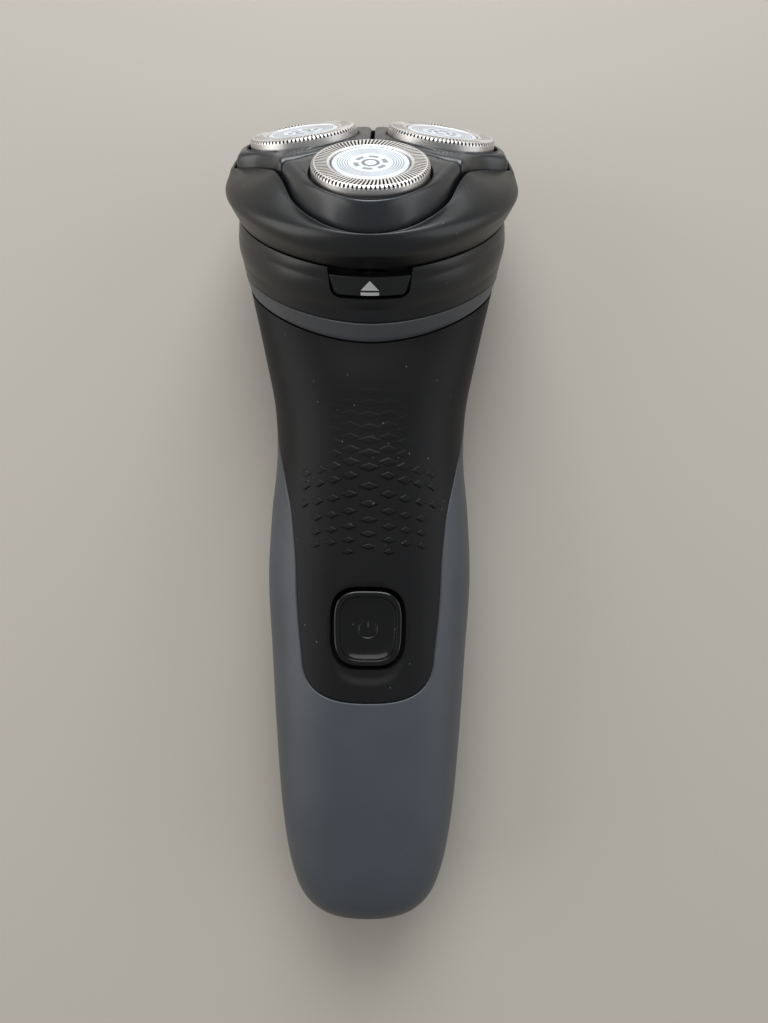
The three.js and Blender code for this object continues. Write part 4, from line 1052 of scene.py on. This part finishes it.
def power_key():
    """Rings of a superellipse shrinking from the skirt over the rim to the middle of the dish. The mark's ring and
    bar lie a little deeper."""
    skirt = np.array([[KEY_HALF, -3.4], [0.0, -3.4], [0.0, -0.62]])
    edge = np.linspace(0.1, 1, 9) * math.pi / 2
    rounded = np.stack([0.42 * (1 - np.cos(edge)), -0.62 + 0.42 * np.sin(edge)], -1)
    rim = np.array([[0.62, -0.17], [0.85, -0.18], [0.96, -0.24], [1.02, -0.42], [1.10, -0.44], [1.16, -0.36]])
    dish_in = np.linspace(0.02, 1, 120)
    sink = 1 - (1 - np.clip(dish_in * 3.2, 0, 1)) ** 2
    dish = np.stack([1.2 + (KEY_HALF - 1.2) * dish_in, -0.33 - 0.42 * sink], -1)
    profile = np.concatenate([skirt, rounded, rim, dish])
    turn = np.linspace(0, 2 * math.pi, 420, endpoint=False)
    c, s = np.cos(turn), np.sin(turn)
    inset, height = profile[:, 0][:, None], profile[:, 1][:, None]
    share = 1 - inset / KEY_HALF
    half_x, half_y = BUTTON_HALF[0] * share, BUTTON_HALF[1] * share
    x = half_x * np.sign(c) * np.abs(c) ** (2 / KEY_FULLNESS)
    y = half_y * np.sign(s) * np.abs(s) ** (2 / KEY_FULLNESS)
    x = x * (1 + 0.022 * y / BUTTON_HALF[1])
    around_mark = np.hypot(x, y)
    open_top = np.abs(np.arctan2(x, y)) > 0.5
    ring_mark = np.clip(1.6 - np.abs(around_mark - MARK_RADIUS) / MARK_LINE, 0, 1) * open_top
    bar_mark = np.clip(1.6 - np.abs(x) / MARK_LINE, 0, 1) * ((y > 0.2) & (y < 2.4))
    mark = np.clip(ring_mark + bar_mark, 0, 1)
    z = height - MARK_DEPTH * mark + POWER_TOP
    return np.stack([x, y + POWER_Y, z], -1) + handle_origin, mark


points, mark = power_key()
power = surface("power_key", points, GLOSS_BLACK, "power_button_body", "black_plastic",
                attributes={"mark": mark})
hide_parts("power_button")


def button_membrane():
    """The rubber seal under the key: a flat superellipse a little wider than the well, closed above and below."""
    turn = np.linspace(0, 2 * math.pi, 160, endpoint=False)
    c, s = np.cos(turn), np.sin(turn)
    outline = np.stack([(BUTTON_HALF[0] + 1.6) * np.sign(c) * np.abs(c) ** (2 / KEY_FULLNESS),
                        (BUTTON_HALF[1] + 1.6) * np.sign(s) * np.abs(s) ** (2 / KEY_FULLNESS)], -1)
    rows = [np.concatenate([outline * share + [0, POWER_Y], np.full((160, 1), POWER_TOP + level)], axis=1)
            for share, level in [(0, -4.7), (1, -4.7), (1, -4.3), (0, -4.3)]]
    return np.stack(rows) + handle_origin


RUBBER = moulding("seal_rubber", (0.006, 0.006, 0.006), 0.75, grain=0.4)
surface("button_membrane", button_membrane(), RUBBER, "handle", "rubber")

# ---- grip diamonds -------------------------------------------------------------------------------------------
# Low lozenges moulded on the panel above the button. They shrink and crowd towards it, spread to the sides, and fade
# away up the neck.
DIAMOND_RISE = 0.30
LAST_ROW = (5, 5, 4, 4, 1)


def diamond(place, turn, half_across, half_along, rise):
    """One lozenge on the panel's skin: its top is flat with rounded shoulders, and its foot lies in the panel."""
    p, q = np.meshgrid(np.linspace(-1, 1, 11), np.linspace(-1, 1, 11), indexing="ij")
    p, q = np.sign(p) * np.abs(p) ** 0.8, np.sign(q) * np.abs(q) ** 0.8
    across = half_across * (p - q) / 2
    along = half_along * (p + q) / 2
    height = rise * ((1 - np.abs(p) ** 9) * (1 - np.abs(q) ** 9)) - 0.02
    top = handle_skin(place + along, FRONT + turn + across / ROUND, -height)
    foot = handle_skin(place + along, FRONT + turn + across / ROUND, 0.4)
    return walled(top, foot)


def grip_diamonds():
    """Column m of the pattern stands to either side of the middle, lowered by a power of m; row n runs down towards
    the button with a shrinking step, and the rows above the first fade away."""
    grids = []
    for m in range(5):
        for n in range(-6, LAST_ROW[m] + 1):
            step = 4.45 * n - 0.21 * n * n if n > 0 else 3.2 * n
            place = 10.7 - step - 1.95 * m**0.6 * (1 - 0.09 * n)
            if m > 2 and n < -1:
                continue
            fade = (1.0, 0.45, 0.3, 0.22, 0.18, 0.15, 0.12)[max(0, -n)]
            shrink = 1 - 0.075 * max(n, -1)
            for side in ((1,) if m == 0 else (1, -1)):
                grids.append(diamond(place, side * 2.75 * m / ROUND, 1.72 * shrink * (1 - 0.05 * m), 1.05 * shrink,
                                     DIAMOND_RISE * fade))
    return grids


def joined(grids):
    """Several closed grids that go round, as one list of points and one of quads."""
    points, quads, start = [], [], 0
    for grid in grids:
        quads.append(grid_quads(*grid.shape[:2], start=start))
        points.append(grid.reshape(-1, 3))
        start += len(points[-1])
    return np.concatenate(points), np.concatenate(quads)


points, quads = joined(grip_diamonds())
mesh_piece("grip_diamonds", points, quads, GRIP_BLACK, "handle", "black_plastic", merge=0.0002)

# ---- what shows through the gaps and underneath --------------------------------------------------------------
# The pieces inside keep the shapes that they were designed with, and get their own plain materials.
BRIGHT_STEEL = steel("bright_steel", (0.62, 0.61, 0.60), 0.30)
BRASS = steel("brass", (0.68, 0.50, 0.24), 0.30)
NYLON = moulding("natural_nylon", (0.62, 0.61, 0.55), 0.5, grain=0.1, specular=0.4)
BOARD_GREEN = moulding("board_green", (0.015, 0.11, 0.045), 0.5, grain=0.1, specular=0.4)
CELL_BLUE = moulding("cell_wrap", (0.03, 0.12, 0.32), 0.35, grain=0.05, specular=0.4)
INNER_BLACK = moulding("inner_black_moulding", (0.012, 0.012, 0.013), 0.5, grain=0.2)
for material, names in (
    (BRIGHT_STEEL, [f"chassis_screw_{n}" for n in (1, 2, 3, 4)] + ["battery_contact_rear", "battery_contact_front",
     "hinge_pin", "motor_can"] + [f"drive_spindle_{side}" for side in CAPS] + [f"cutter_{side}" for side in CAPS]),
    (BRASS, ["motor_pinion", "socket_pin_left", "socket_pin_right"]),
    (NYLON, ["centre_gear", "gear_plate", "retaining_frame"] + [f"drive_gear_{side}" for side in CAPS]),
    (RUBBER, [f"spindle_seal_{side}" for side in CAPS]),
    (BOARD_GREEN, ["circuit_board"]),
    (CELL_BLUE, ["battery"]),
    (INNER_BLACK, ["chassis", "tact_switch", "charging_socket", "motor_end_cap"]),
    (SLATE, ["retaining_lock"]),
):
    for name in names:
        node = frame["nodes"][name]
        node.data.materials.clear()
        node.data.materials.append(material)
